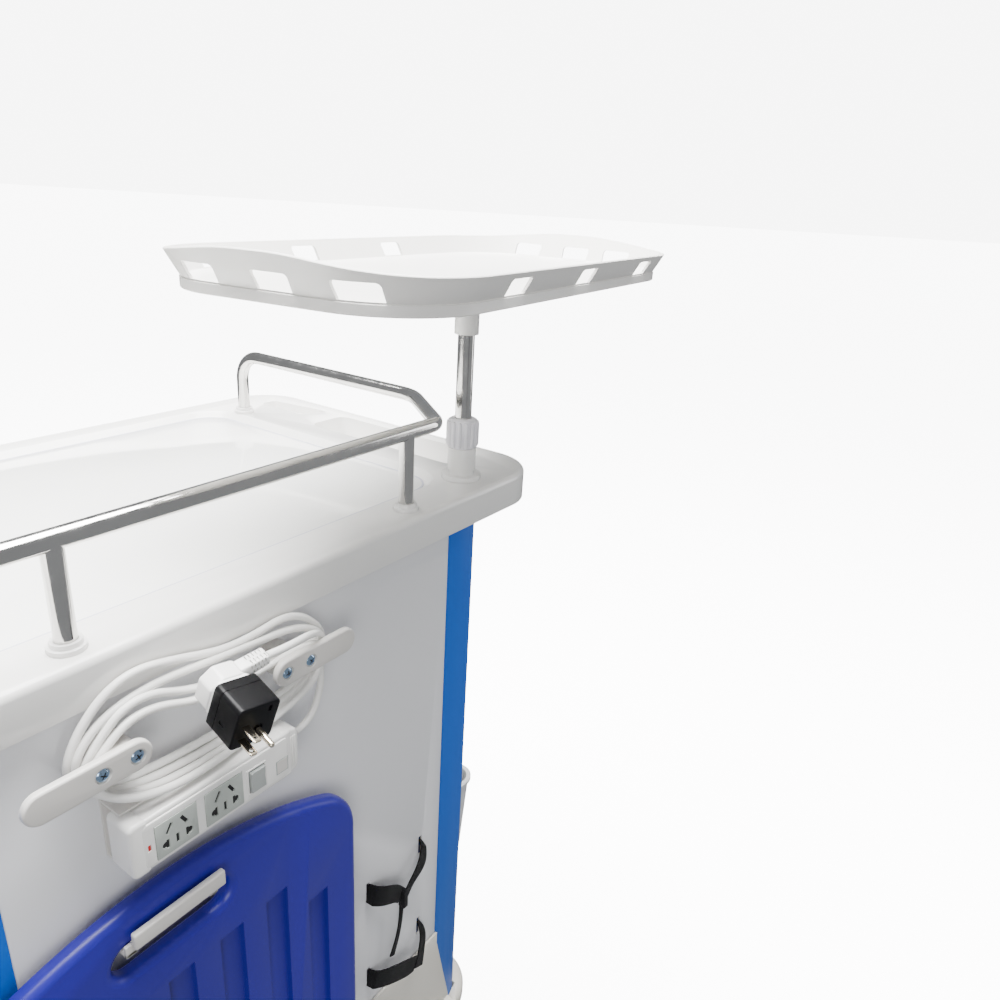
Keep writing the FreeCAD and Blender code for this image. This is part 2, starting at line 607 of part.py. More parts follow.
def cpr_board():
    board = board_outline(BOARD_Y0, BOARD_Y1)
    middle = (BOARD_TOP + BOARD_BOTTOM) / 2
    board = round_edges(board, BOARD_CORNER_R, lambda e: along_y(e) and e.CenterOfMass.z > middle)
    board = round_edges(board, 25, lambda e: along_y(e) and e.CenterOfMass.z < BOARD_BOTTOM + 1)
    board = board.cut(stadium(SLOT_X, (SLOT_Z0, SLOT_Z1), (BOARD_Y0 - 1, BOARD_Y1 + 1))).removeSplitter()
    flat = [e for e in board.Edges if e.BoundBox.YLength < 0.01]
    front = [e for e in flat if e.CenterOfMass.y > BOARD_Y1 - 0.1]
    board = board.makeFillet(BOARD_ROUND, front)
    board = round_edges(board, BOARD_BACK_ROUND, lambda e: e.BoundBox.YMax < BOARD_Y0 + 0.01)
    for i in range(-3, 4):
        x = BOARD_X + i * GROOVE_PITCH
        top = GROOVE_TOP_OUTER if abs(i) == 3 else GROOVE_TOP
        z = (BOARD_BOTTOM + 45, top)
        cutter = box((x - GROOVE_W / 2, x + GROOVE_W / 2), (BOARD_Y1 - GROOVE_DEPTH, BOARD_Y1 + 1), z)
        board = board.cut(cutter)
    return board


def board_bracket():
    """Two arms through the board's slot, joined by a lip in front of it."""
    z0 = SLOT_Z1 - 5.5
    lip = box((93.5, 178.5), (281.5, 288), (H - 246.5, H - 231))
    arms = [box((x, x + 9), (BODY_Y - 1, 285), (z0, z0 + 5)) for x in BRACKET_ARMS]
    arms += [box((x, x + 9), (281.5, 285), (z0, H - 240)) for x in BRACKET_ARMS]
    foot = [box((x - 4, x + 13), (BODY_Y - 1, BODY_Y + 1.5), (z0 - 18, z0 + 5)) for x in BRACKET_ARMS]
    return fuse(lip, *(arms + foot))


def board_rest():
    shelf = box((BOARD_X - 110, BOARD_X + 110), (BODY_Y - 1, 283), (BOARD_BOTTOM - 4.3, BOARD_BOTTOM - 0.3))
    lip = box((BOARD_X - 110, BOARD_X + 110), (280, 283), (BOARD_BOTTOM - 0.3, BOARD_BOTTOM + 11))
    return fuse(shelf, lip)


# ------------------------------------------------------------------ cord hooks and power strip

def cord_hook(end, side):
    """One arm standing off the panel on a stem near its inner end; side is the way it points."""
    length, height, thick = HOOK_ARM
    x = sorted((end, end + side * length))
    arm = stadium(x, (HOOK_Z - height / 2, HOOK_Z + height / 2), (HOOK_Y, HOOK_Y + thick))
    sx = sorted((end + side * 6, end + side * 40))
    stem = stadium(sx, (HOOK_Z - 10, HOOK_Z + 10), (BODY_Y - 1, HOOK_Y + 1))
    return fuse(arm, stem)


def hook_screws():
    made = []
    for end, side in zip(HOOK_ENDS, (1, -1)):
        for along in (12, 38):
            x = end + side * along
            head = rod(5.5, 2.2, (x, HOOK_Y + HOOK_ARM[2], HOOK_Z), V(0, 1, 0))
            made.append(head)
    return group(*made)


def strip_body():
    x0, x1, y0, y1, z0, z1 = STRIP
    body = box((x0, x1), (y0, y1), (z0, z1))
    body = round_edges(body, 4, lambda e: e.CenterOfMass.y > y1 - 0.1)
    for mid in STRIP_SOCKETS:
        body = body.cut(box((mid - 18, mid + 18), (y1 - 2, y1 + 1), (STRIP_MID - 16, STRIP_MID + 16)))
    return body.cut(box(grow((STRIP_SWITCH,) * 2, 8), (y1 - 9, y1 + 1), grow((STRIP_MID,) * 2, 11)))


def strip_sockets():
    made = []
    y1 = STRIP[3]
    for mid in STRIP_SOCKETS:
        insert = box((mid - 17.9, mid + 17.9), (y1 - 2, y1 + 0.6), (STRIP_MID - 15.9, STRIP_MID + 15.9))
        for dx, dz, turn in ((-6, 8, 30), (6, 8, -30), (-9, -4, -60), (9, -4, 60), (0, -7, 0)):
            slot = box((-0.9, 0.9), (y1 - 3, y1 + 1), (-3.6, 3.6))
            slot.rotate(V(0, 0, 0), V(0, 1, 0), turn)
            slot.translate(V(mid + dx, 0, STRIP_MID + dz))
            insert = insert.cut(slot)
        made.append(insert)
    return group(*made)


def strip_switch():
    y1 = STRIP[3]
    rocker = box(grow((STRIP_SWITCH,) * 2, 7.5), (y1 - 5.5, y1 + 1.5), grow((STRIP_MID,) * 2, 10))
    return round_edges(rocker, 1.5, lambda e: e.CenterOfMass.y > y1 + 1.4)


def strip_cradle():
    x0, x1, y0, y1, z0, z1 = STRIP
    back = box((x0 + 6, x1 - 4), (BODY_Y - 1, BODY_Y + 2), (z0 - 3, z1 + 2.5))
    low = box((x0 + 30, x1 - 4), (BODY_Y - 1, 276), (z0 - 3, z0 - 0.2))
    high = box((x0 + 30, x1 - 4), (BODY_Y - 1, 276), (z1 + 0.2, z1 + 2.5))
    blocks = [box((x, x + 20), (BODY_Y, y0), (z0 + 8, z1 - 8)) for x in (x0 + 20, x1 - 40)]
    return fuse(back, low, high, *blocks)


# ------------------------------------------------------------------ cord, plug and adapter

# Outer shape of the stowed turns and of the hole round the two hooks: x, and z from the working surface.
COIL_OUTER = [(-50, -75), (-46, -50), (-28, -32), (-5, -24), (40, -27), (90, -27), (130, -12), (165, -14),
              (195, -32), (208, -55), (209, -80), (200, -105), (180, -122), (100, -124), (-10, -124),
              (-38, -118), (-50, -95)]
COIL_INNER = [(-15, -66), (-9, -61), (60, -62), (150, -62), (184, -61), (191, -69), (191, -82), (184, -90),
              (100, -91), (-9, -90), (-15, -84)]
COIL_LOWER = [(5, -98), (185, -98), (178, -120), (100, -124), (5, -124)]

# Route of the cord from the strip's end to the turns: x, y, and z from the working surface.
LEAD_ROUTE = [(14, 275, -150), (-3, 275, -150), (-18, 273, -145), (-29, 270, -133), (-36, 268, -118)]
# Route from the plug's neck back to the turns.
TAIL_ROUTE = [(52.4, 303, -35.3), (38, 302.5, -37), (17, 296, -42.5), (-6, 287, -49), (-25, 278, -58.5),
              (-36, 272, -75)]


def coil():
    """The stowed turns as one closed shape with a hole for the hook stems."""
    turns = plate([(x, H + z) for x, z in COIL_OUTER], *COIL_Y)
    turns = turns.cut(plate([(x, H + z) for x, z in COIL_INNER], COIL_Y[0] - 1, COIL_Y[1] + 1))
    front = plate([(x, H + z) for x, z in COIL_LOWER], COIL_Y[1] - 10, COIL_FRONT)
    return turns.fuse(front).removeSplitter()


def bend_radii(points):
    """Largest tangent arcs that the runs allow: 0.45 of the shorter run at each corner."""
    radii = []
    for before, corner, after in zip(points, points[1:], points[2:]):
        a, b = corner - before, after - corner
        radii.append(0.45 * min(a.Length, b.Length) / math.tan(a.getAngle(b) / 2))
    return radii


def cord_tube(route):
    points = [V(x, y, H + z) for x, y, z in route]
    radii = bend_radii(points)
    wire = path(points, radii)
    lead = sweep(wire, CORD_R)
    ideal = math.pi * CORD_R ** 2 * wire.Length
    print("cord arc radii", [round(r, 1) for r in radii], "length", round(wire.Length, 1),
          "volume ratio", round(lead.Volume / ideal, 4))
    return lead


def aim(shape):
    """Turn a plug-side shape from its own axes, pins towards +Y, to where the adapter hangs."""
    roll, pitch, yaw = ADAPTER_TURN
    shape.rotate(V(0, 0, 0), V(0, 1, 0), roll)
    shape.rotate(V(0, 0, 0), V(1, 0, 0), pitch)
    shape.rotate(V(0, 0, 0), V(0, 0, 1), yaw)
    shape.translate(V(*ADAPTER_AT))
    return shape


def adapter():
    w, d, h = ADAPTER_SIZE
    cube = box((-w / 2, w / 2), (-d / 2, d / 2), (-h / 2, h / 2))
    cube = round_edges(cube, 5, along_y)
    x, mid = BLADE_AT
    reach = (d / 2 - 0.1, d / 2 + 17)
    levels = (mid - BLADE_PITCH / 2, mid + BLADE_PITCH / 2)
    blades = [box((x - 3.2, x + 3.2), reach, (z - 0.8, z + 0.8)) for z in levels]
    ground = rod(2.4, 21, (x - PIN_OFF, d / 2 - 0.1, mid), V(0, 1, 0))
    return aim(fuse(cube, ground, *blades))


def plug():
    """Body of the plug that sits in the back of the adapter."""
    back = -ADAPTER_SIZE[1] / 2
    body = box((-17, 18), (back - 20, back - 0.1), (-17, 19))
    return aim(round_edges(body, 7, along_y))


def plug_relief():
    """Neck of the plug, which leaves its top corner towards -X."""
    neck = box((-NECK[0], 2), (-NECK[1] / 2, NECK[1] / 2), (-NECK[1] / 2, NECK[1] / 2))
    neck = round_edges(neck, 3, lambda e: abs(e.tangentAt(e.FirstParameter).x) > 0.99)
    neck.rotate(V(0, 0, 0), V(0, 1, 0), NECK_TURN)
    neck.translate(V(-12, -ADAPTER_SIZE[1] / 2 - 10.5, 15.2))
    return aim(neck.cut(box((-17, 18), (-60, 0), (-17, 19))))


# ------------------------------------------------------------------ straps

def strap(z, tail):
    """Hook-and-loop strap through two slots of the rear panel, closed, with its tail hanging."""
    plan = [(-116.5, BODY_Y - 4), (-117.5, 262.0), (-148.0, 271.0), (-180.0, 271.0), (-210.5, 262.0),
            (-211.5, BODY_Y - 4)]
    back = [(x + (STRAP_T if i > 2 else -STRAP_T) * (i in (0, 1, 4, 5)), y - STRAP_T * (i in (1, 2, 3, 4)))
            for i, (x, y) in enumerate(plan)]
    outline = [V(x, y, z - STRAP_W / 2) for x, y in plan + back[::-1] + plan[:1]]
    band = Part.Face(Part.makePolygon(outline)).extrude(V(0, 0, STRAP_W))
    hang = box((-164, -140), (270.5, 270.5 + STRAP_T), (z - tail, z + STRAP_W / 2))
    return fuse(band, hang)


# ------------------------------------------------------------------ side accessories

def waste_bin(side):
    mid = side * BIN_Y
    half = BIN_W / 2
    x, y = (BIN_OUT, -312.0), (mid - half, mid + half)
    z0, z1 = BIN_RIM - BIN_H, BIN_RIM
    lower = ((x[0] + 26, x[1] - 2), grow(y, -14), 18, z0)
    body = rounded_loft(lower, ((x[0] + 4, x[1]), grow(y, -4), 22, z1 - 12))
    body = body.fuse(rounded_block(grow((x[0] + 4, x[1]), 0), grow(y, -4), 22, (z1 - 12, z1)))
    body = body.fuse(rounded_block((x[0], x[1]), y, 26, (z1 - 5, z1)))
    inner = rounded_loft(((x[0] + 28.5, x[1] - 4.5), grow(y, -16.5), 16, z0 + 3),
                         ((x[0] + 6.5, x[1] - 2.5), grow(y, -6.5), 20, z1 - 12))
    inner = inner.fuse(rounded_block((x[0] + 6.5, x[1] - 2.5), grow(y, -6.5), 20, (z1 - 12, z1 + 1)))
    body = body.cut(inner)
    web = box((-313, -302.5), (mid - 50, mid + 50), (z1 - 4, z1))
    hook = box((-305.0, -302.5), (mid - 50, mid + 50), (z1 - 24, z1 - 4))
    return fuse(body, web, hook)


def bin_bracket():
    """Flat bar stood off the side panel, on which the bins hang."""
    bar = box((-309.5, -306.5), (-186, 186), (BIN_RIM - 34, BIN_RIM - 4.3))
    feet = [box((-307, -BODY_X + 1), (y - 8, y + 8), (BIN_RIM - 34, BIN_RIM - 26)) for y in (-178, 0, 178)]
    return fuse(bar, *feet)


def push_handle():
    z, out = GRIP_Z, GRIP_OUT
    pts = [V(-BODY_X + 1, -GRIP_Y, z), V(out, -GRIP_Y, z), V(out, GRIP_Y, z), V(-BODY_X + 1, GRIP_Y, z)]
    bar = sweep(path(pts, (26, 26)), GRIP_R)
    roses = [rod(19, 5, (-BODY_X + 1, y, z), V(-1, 0, 0)) for y in (-GRIP_Y, GRIP_Y)]
    return fuse(bar, *roses)


# ------------------------------------------------------------------ assembly

def build():
    nodes = {
        "table_top": table_top(), "clear_mat": clear_mat(), "guard_rail": guard_rail(),
        "rail_flanges": rail_flanges(),
        "rear_columns": group(column(-1, 1), column(1, 1)),
        "front_columns": group(column(-1, -1), column(1, -1)),
        "back_panel": back_panel(), "side_panel_left": side_panel(-1), "side_panel_right": side_panel(1),
        "base_pan": base_pan(), "base_frame": base_frame(), "drawer_frame": drawer_frame(),
        "lock_core": lock_core(), "guide_rails": guide_rails(), "caster_plates": caster_plates(),
        "pole_socket": pole_socket(), "clamp_nut": clamp_nut(), "shelf_pole": shelf_pole(),
        "shelf_collar": shelf_collar(), "shelf_tray": shelf_tray(),
        "cpr_board": cpr_board(), "board_bracket": board_bracket(), "board_rest": board_rest(),
        "cord_hooks": group(cord_hook(HOOK_ENDS[0], 1), cord_hook(HOOK_ENDS[1], -1)),
        "hook_screws": hook_screws(), "strip_body": strip_body(), "strip_sockets": strip_sockets(),
        "strip_switch": strip_switch(), "strip_cradle": strip_cradle(),
        "cord_coil": coil(), "cord_lead": cord_tube(LEAD_ROUTE), "cord_tail": cord_tube(TAIL_ROUTE),
        "plug": plug(), "plug_relief": plug_relief(), "adapter": adapter(),
        "strap_upper": strap(STRAP_Z[0], 115), "strap_lower": strap(STRAP_Z[1], 62),
        "waste_bin_front": waste_bin(-1), "waste_bin_back": waste_bin(1), "bin_bracket": bin_bracket(),
        "push_handle": push_handle(),
    }
    for i in range(len(FRONT_H)):
        nodes[f"drawer_front_{i + 1}"] = drawer_front(i)
        nodes[f"drawer_tub_{i + 1}"] = drawer_tub(i)
    for i, place in enumerate(caster_centres()):
        nodes[f"caster_fork_{i + 1}"] = place_caster(caster_fork(), *place)
        nodes[f"caster_wheel_{i + 1}"] = place_caster(caster_wheel(), *place)
        if i in BRAKED:
            nodes[f"brake_pedal_{i + 1}"] = place_caster(brake_pedal(), *place)
    return nodes


CORD_NODES = ("cord_coil", "cord_lead", "cord_tail", "plug", "plug_relief", "adapter")


def main():
    os.makedirs("parts", exist_ok=True)
    nodes = build()
    cart = FreeCAD.BoundBox()
    for name, shape in nodes.items():
        if name not in CORD_NODES:
            cart.add(shape.optimalBoundingBox(False))
    shift = V(-cart.Center.x, -cart.Center.y, -cart.ZMin)
    for name, shape in nodes.items():
        shape.translate(shift)
        shape.exportStep(f"parts/{name}.step")
    print("shift", shift, "size", cart.XLength, cart.YLength, cart.ZLength, "nodes", len(nodes))
    return nodes


main()
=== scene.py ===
"""Medication cart: the looks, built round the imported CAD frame.

Places written as plain numbers are millimetres from the middle of the table top's working surface,
x to the right of a person who faces the drawers, y to the rear, z up. at() gives such a place in the
frame's metres. Most pieces are drawn there, and to_cart() takes them to the frame. The plug, its neck,
the adapter and the clamp nut are drawn about their own middle first.
"""
import json
import math

import bmesh
import bpy
from mathutils import Matrix, Vector


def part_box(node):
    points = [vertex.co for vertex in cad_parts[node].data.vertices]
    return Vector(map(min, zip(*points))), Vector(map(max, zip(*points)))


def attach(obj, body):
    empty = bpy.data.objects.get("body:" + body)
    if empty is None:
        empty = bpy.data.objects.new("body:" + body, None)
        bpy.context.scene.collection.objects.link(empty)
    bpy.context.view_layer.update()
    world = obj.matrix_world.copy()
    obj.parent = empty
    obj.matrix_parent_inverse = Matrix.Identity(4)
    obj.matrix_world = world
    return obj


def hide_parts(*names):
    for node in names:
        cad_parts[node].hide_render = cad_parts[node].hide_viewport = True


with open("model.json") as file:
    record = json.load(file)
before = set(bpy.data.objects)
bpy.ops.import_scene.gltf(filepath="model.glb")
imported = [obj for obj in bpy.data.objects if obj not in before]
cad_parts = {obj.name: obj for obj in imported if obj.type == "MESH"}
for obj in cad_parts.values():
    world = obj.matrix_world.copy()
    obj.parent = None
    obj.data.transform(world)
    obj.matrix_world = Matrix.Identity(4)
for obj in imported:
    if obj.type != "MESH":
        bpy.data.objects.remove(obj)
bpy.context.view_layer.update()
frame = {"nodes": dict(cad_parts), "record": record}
scene = bpy.context.scene
NODES = frame["nodes"]
MM = 0.001

top_low, top_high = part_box("table_top")
CENTRE = Vector(((top_low.x + top_high.x) / 2, (top_low.y + top_high.y) / 2, top_high.z))


def at(x, y, z):
    """A point in the frame's metres, from millimetres about the middle of the working surface."""
    return CENTRE + Vector((x, y, z)) * MM


# ------------------------------------------------------------------ camera

CAMERA_LENS, SENSOR_WIDTH, CLIP_END = 28.83, 36.0, 50.0
CAMERA_AT = (404.79, 751.357, 316.71)
CAMERA_RIGHT = Vector((-0.57310, 0.81757, 0.05599))
CAMERA_DOWN = Vector((0.26446, 0.24919, -0.93165))
CAMERA_FORWARD = Vector((-0.77564, -0.51912, -0.35902))


def add_camera():
    data = bpy.data.cameras.new("photo_camera")
    data.sensor_width = SENSOR_WIDTH
    data.lens = CAMERA_LENS
    data.clip_end = CLIP_END
    camera = bpy.data.objects.new("photo_camera", data)
    scene.collection.objects.link(camera)
    turn = Matrix((CAMERA_RIGHT, -CAMERA_DOWN, -CAMERA_FORWARD)).transposed().to_4x4()
    camera.matrix_world = Matrix.Translation(at(*CAMERA_AT)) @ turn
    scene.camera = camera


add_camera()


# ------------------------------------------------------------------ materials

def tinted(colour, factor):
    return tuple(min(1.0, c * factor) for c in colour[:3]) + (1.0,)


class Shader:
    """A Principled material with object coordinates, colour clouds, uneven polish and grain."""

    def __init__(self, name, colour, rough, metallic=0.0):
        self.material = bpy.data.materials.new(name)
        self.material.use_nodes = True
        self.nodes = self.material.node_tree.nodes
        self.links = self.material.node_tree.links
        self.bsdf = self.nodes["Principled BSDF"]
        self.bsdf.inputs["Base Color"].default_value = tinted(colour, 1.0)
        self.bsdf.inputs["Roughness"].default_value = rough
        self.bsdf.inputs["Metallic"].default_value = metallic
        self.colour, self.rough = colour, rough
        self.coords = self.nodes.new("ShaderNodeTexCoord").outputs["Object"]

    def noise(self, scale, detail=3.0, stretch=None):
        node = self.nodes.new("ShaderNodeTexNoise")
        node.inputs["Scale"].default_value = scale
        node.inputs["Detail"].default_value = detail
        source = self.coords
        if stretch:
            mapping = self.nodes.new("ShaderNodeMapping")
            mapping.inputs["Scale"].default_value = stretch
            self.links.new(self.coords, mapping.inputs["Vector"])
            source = mapping.outputs["Vector"]
        self.links.new(source, node.inputs["Vector"])
        return node.outputs["Fac"]

    def ramp(self, source, low, high, start=0.35, end=0.65):
        node = self.nodes.new("ShaderNodeMapRange")
        node.inputs["From Min"].default_value = start
        node.inputs["From Max"].default_value = end
        node.inputs["To Min"].default_value = low
        node.inputs["To Max"].default_value = high
        self.links.new(source, node.inputs["Value"])
        return node.outputs["Result"]

    def mix(self, factor, first, second):
        node = self.nodes.new("ShaderNodeMix")
        node.data_type = "RGBA"
        self.links.new(factor, node.inputs["Factor"])
        node.inputs["A"].default_value = first
        node.inputs["B"].default_value = second
        return node.outputs["Result"]

    def paint(self, cloud=7.0, vary=0.04):
        """Clouds a little darker and lighter than the colour."""
        colour = self.mix(self.ramp(self.noise(cloud), 0.0, 1.0),
                          tinted(self.colour, 1 - vary), tinted(self.colour, 1 + vary))
        self.links.new(colour, self.bsdf.inputs["Base Color"])
        return self

    def polish(self, scale=25.0, vary=0.05, stretch=None):
        rough = self.ramp(self.noise(scale, 5.0, stretch), max(0.02, self.rough - vary), self.rough + vary)
        self.links.new(rough, self.bsdf.inputs["Roughness"])
        return self

    def grain(self, scale=1200.0, strength=0.08, depth=0.0002, wave=0.1, wave_scale=14.0, wave_depth=0.0012):
        """Fine moulded grain on top of a broad, shallow waviness."""
        fine = self.noise(scale, 2.0)
        broad = self.noise(wave_scale, 1.0)
        previous = None
        for source, power, distance in ((broad, wave, wave_depth), (fine, strength, depth)):
            bump = self.nodes.new("ShaderNodeBump")
            bump.inputs["Strength"].default_value = power
            bump.inputs["Distance"].default_value = distance
            self.links.new(source, bump.inputs["Height"])
            if previous:
                self.links.new(previous, bump.inputs["Normal"])
            previous = bump.outputs["Normal"]
        self.links.new(previous, self.bsdf.inputs["Normal"])
        return self

    def set(self, **values):
        for name, value in values.items():
            self.bsdf.inputs[name.replace("_", " ")].default_value = value
        return self


def plastic(name, colour, rough=0.3, vary=0.012, strength=0.05, scale=1500.0, wave=0.015, **sockets):
    shader = Shader(name, colour, rough).paint(vary=vary)
    return shader.polish(vary=0.015).grain(scale, strength, wave=wave).set(**sockets).material


def steel(name, colour=(0.60, 0.59, 0.57), rough=0.14, strength=0.05):
    shader = Shader(name, colour, rough, 1.0).paint(cloud=18.0, vary=0.05)
    return shader.polish(90.0, 0.05).grain(700.0, strength, 0.00005, wave=0.03).material


def webbing(name, colour):
    """Woven tape with a fuzzy loop face."""
    shader = Shader(name, colour, 0.85).paint(cloud=40.0, vary=0.35)
    wave = shader.nodes.new("ShaderNodeTexWave")
    wave.inputs["Scale"].default_value = 320.0
    wave.inputs["Distortion"].default_value = 1.5
    shader.links.new(shader.coords, wave.inputs["Vector"])
    fuzz = shader.noise(1400.0, 4.0)
    add = shader.nodes.new("ShaderNodeMath")
    add.operation = "ADD"
    shader.links.new(wave.outputs["Fac"], add.inputs[0])
    shader.links.new(fuzz, add.inputs[1])
    bump = shader.nodes.new("ShaderNodeBump")
    bump.inputs["Strength"].default_value = 0.7
    bump.inputs["Distance"].default_value = 0.0006
    shader.links.new(add.outputs[0], bump.inputs["Height"])
    shader.links.new(bump.outputs["Normal"], shader.bsdf.inputs["Normal"])
    return shader.set(Sheen_Weight=0.05, Sheen_Roughness=0.5, Specular_IOR_Level=0.15).material


WHITE = (0.80, 0.79, 0.765)
MATERIALS = {
    "abs_white": plastic("abs_white", WHITE, 0.20, strength=0.03, wave=0.02, Coat_Weight=0.15),
    "tray_white": plastic("tray_white", (0.80, 0.785, 0.755), 0.34, vary=0.01, strength=0.06, wave=0.02),
    "nut_white": plastic("nut_white", (0.74, 0.73, 0.76), 0.30, strength=0.05),
    "mat_clear": plastic("mat_clear", (0.78, 0.78, 0.755), 0.09, strength=0.01, wave=0.10, Coat_Weight=0.5),
    "mat_edge": plastic("mat_edge", (0.50, 0.50, 0.58), 0.15, strength=0.02),
    "stainless": steel("stainless"),
    "column_blue": Shader("column_blue", (0.0, 0.098, 0.50), 0.38, 0.0).paint(3.0, 0.03)
    .polish(60.0, 0.04, (1, 1, 0.1)).grain(900.0, 0.04).set(Specular_IOR_Level=0.35).material,
    "panel_white": Shader("panel_white", (0.72, 0.72, 0.735), 0.32).paint(2.0, 0.006)
    .grain(900.0, 0.05, wave=0.03).material,
    "base_cream": plastic("base_cream", (0.72, 0.69, 0.62), 0.36, strength=0.10, scale=800.0),
    "steel_painted": plastic("steel_painted", (0.20, 0.21, 0.22), 0.5, strength=0.2, scale=600.0),
    "lock_metal": steel("lock_metal", (0.70, 0.70, 0.72), 0.16),
    "zinc_steel": steel("zinc_steel", (0.56, 0.57, 0.58), 0.28, strength=0.12),
    "screw_zinc": steel("screw_zinc", (0.38, 0.52, 0.70), 0.18),
    "brass_pin": steel("brass_pin", (0.78, 0.70, 0.56), 0.15),
    "board_blue": plastic("board_blue", (0.018, 0.013, 0.27), 0.36, vary=0.03, strength=0.06, scale=900.0,
                          wave=0.02, Specular_IOR_Level=0.4),
    "bracket_white": plastic("bracket_white", (0.60, 0.58, 0.55), 0.30, strength=0.06),
    "socket_grey": plastic("socket_grey", (0.40, 0.43, 0.40), 0.42, strength=0.12, scale=1100.0),
    # slot_dark is near black: painted shade for the inside of the socket slots and the screw recesses
    "slot_dark": plastic("slot_dark", (0.012, 0.012, 0.012), 0.6),
    "switch_grey": plastic("switch_grey", (0.34, 0.36, 0.35), 0.35),
    "led_red": plastic("led_red", (0.55, 0.02, 0.02), 0.15, Coat_Weight=0.6),
    "cord_white": plastic("cord_white", (0.80, 0.79, 0.76), 0.34, strength=0.06, scale=700.0),
    "plug_white": plastic("plug_white", (0.84, 0.83, 0.81), 0.26, strength=0.04),
    "adapter_black": plastic("adapter_black", (0.003, 0.003, 0.0035), 0.38, vary=0.25, strength=0.10,
                             scale=1000.0, Specular_IOR_Level=0.14),
    "strap_black": webbing("strap_black", (0.004, 0.004, 0.005)),
    "bin_grey": plastic("bin_grey", (0.66, 0.67, 0.67), 0.30, strength=0.08),
    "drawer_white": plastic("drawer_white", (0.76, 0.76, 0.74), 0.24, strength=0.05),
    "tub_grey": plastic("tub_grey", (0.52, 0.54, 0.56), 0.42, strength=0.15, scale=800.0),
    "wheel_grey": plastic("wheel_grey", (0.07, 0.075, 0.08), 0.62, vary=0.12, strength=0.3, scale=500.0),
    "pedal_dark": plastic("pedal_dark", (0.05, 0.05, 0.055), 0.5, vary=0.1, strength=0.2, scale=500.0),
}


def paint(obj, name):
    obj.data.materials.clear()
    obj.data.materials.append(MATERIALS[name])
    return obj


# ------------------------------------------------------------------ mesh helpers

def link(name, data):
    obj = bpy.data.objects.new(name, data)
    scene.collection.objects.link(obj)
    return obj


def from_bmesh(name, bm):
    bmesh.ops.recalc_face_normals(bm, faces=bm.faces)
    data = bpy.data.meshes.new(name)
    bm.to_mesh(data)
    bm.free()
    return link(name, data)


def bake_modifiers(obj):
    """Turn an object and its modifiers into a plain mesh."""
    evaluated = obj.evaluated_get(bpy.context.evaluated_depsgraph_get())
    data = bpy.data.meshes.new_from_object(evaluated)
    obj.modifiers.clear()
    obj.data = data
    return obj


def smooth(obj, angle=35.0):
    obj.data.shade_smooth()
    obj.data.set_sharp_from_angle(angle=math.radians(angle))
    return obj


def soften(obj, width, segments=3, angle=30.0):
    """Round every edge sharper than the angle; width in millimetres."""
    bevel = obj.modifiers.new("edge", "BEVEL")
    bevel.width = width * MM
    bevel.segments = segments
    bevel.limit_method = "ANGLE"
    bevel.angle_limit = math.radians(angle)
    bevel.use_clamp_overlap = True
    return smooth(bake_modifiers(obj))


def block(name, low, high, round_by=1.0, segments=3):
    """Box between two corners in millimetres about its own origin, with rounded edges."""
    bm = bmesh.new()
    bmesh.ops.create_cube(bm, size=1.0)
    low, high = Vector(low), Vector(high)
    for v in bm.verts:
        v.co = Vector([(low[i] + high[i]) / 2 + v.co[i] * (high[i] - low[i]) for i in range(3)]) * MM
    obj = from_bmesh(name, bm)
    return soften(obj, round_by, segments) if round_by else obj


def prism(name, outline, low, high, round_by=0.0, segments=3):
    """Outline in the XZ plane, in millimetres, drawn out along Y from low to high."""
    bm = bmesh.new()
    face = bm.faces.new([bm.verts.new((x * MM, low * MM, z * MM)) for x, z in outline])
    grown = bmesh.ops.extrude_face_region(bm, geom=[face])["geom"]
    for v in [g for g in grown if isinstance(g, bmesh.types.BMVert)]:
        v.co.y = high * MM
    obj = from_bmesh(name, bm)
    return soften(obj, round_by, segments) if round_by else smooth(obj)


def lathe(name, profile, steps):
    """Profile of (radius, height) in millimetres, turned about Z."""
    bm = bmesh.new()
    rings = []
    for radius, height in profile:
        if radius < 0.001:
            rings.append([bm.verts.new((0, 0, height * MM))])
            continue
        turn = [2 * math.pi * i / steps for i in range(steps)]
        rings.append([bm.verts.new((radius * MM * math.cos(a), radius * MM * math.sin(a), height * MM))
                      for a in turn])
    for a, b in zip(rings, rings[1:]):
        for i in range(steps):
            corners = [a[i % len(a)], a[(i + 1) % len(a)], b[(i + 1) % len(b)], b[i % len(b)]]
            unique = list(dict.fromkeys(corners))
            if len(unique) > 2:
                bm.faces.new(unique)
    return smooth(from_bmesh(name, bm), 40.0)


def stadium(x0, x1, z0, z1, steps=12):
    """Outline of a bar with two half-round ends."""
    r = (z1 - z0) / 2
    middle = (z0 + z1) / 2
    points = []
    for centre, start in ((x1 - r, -90), (x0 + r, 90)):
        for i in range(steps + 1):
            a = math.radians(start + 180 * i / steps)
            points.append((centre + r * math.cos(a), middle + r * math.sin(a)))
    return points


def rounded_outline(x0, x1, z0, z1, r, steps=6):
    """Outline of a rectangle with round corners."""
    corners = ((x1 - r, z0 + r, -90), (x1 - r, z1 - r, 0), (x0 + r, z1 - r, 90), (x0 + r, z0 + r, 180))
    points = []
    for cx, cz, start in corners:
        for i in range(steps + 1):
            a = math.radians(start + 90 * i / steps)
            points.append((cx + r * math.cos(a), cz + r * math.sin(a)))
    return points


def cut(obj, cutters):
    """Take the cutters out of an object, and delete them."""
    for cutter in cutters:
        boolean = obj.modifiers.new("cut", "BOOLEAN")
        boolean.operation = "DIFFERENCE"
        boolean.solver = "EXACT"
        boolean.object = cutter
        bake_modifiers(obj)
        bpy.data.objects.remove(cutter)
    return smooth(obj)


def place(obj, matrix):
    """Move the mesh itself, so that the object stays at the origin."""
    obj.data.transform(matrix)
    return obj


def move(obj, x, y, z):
    """Move the mesh by millimetres."""
    return place(obj, Matrix.Translation(Vector((x, y, z)) * MM))


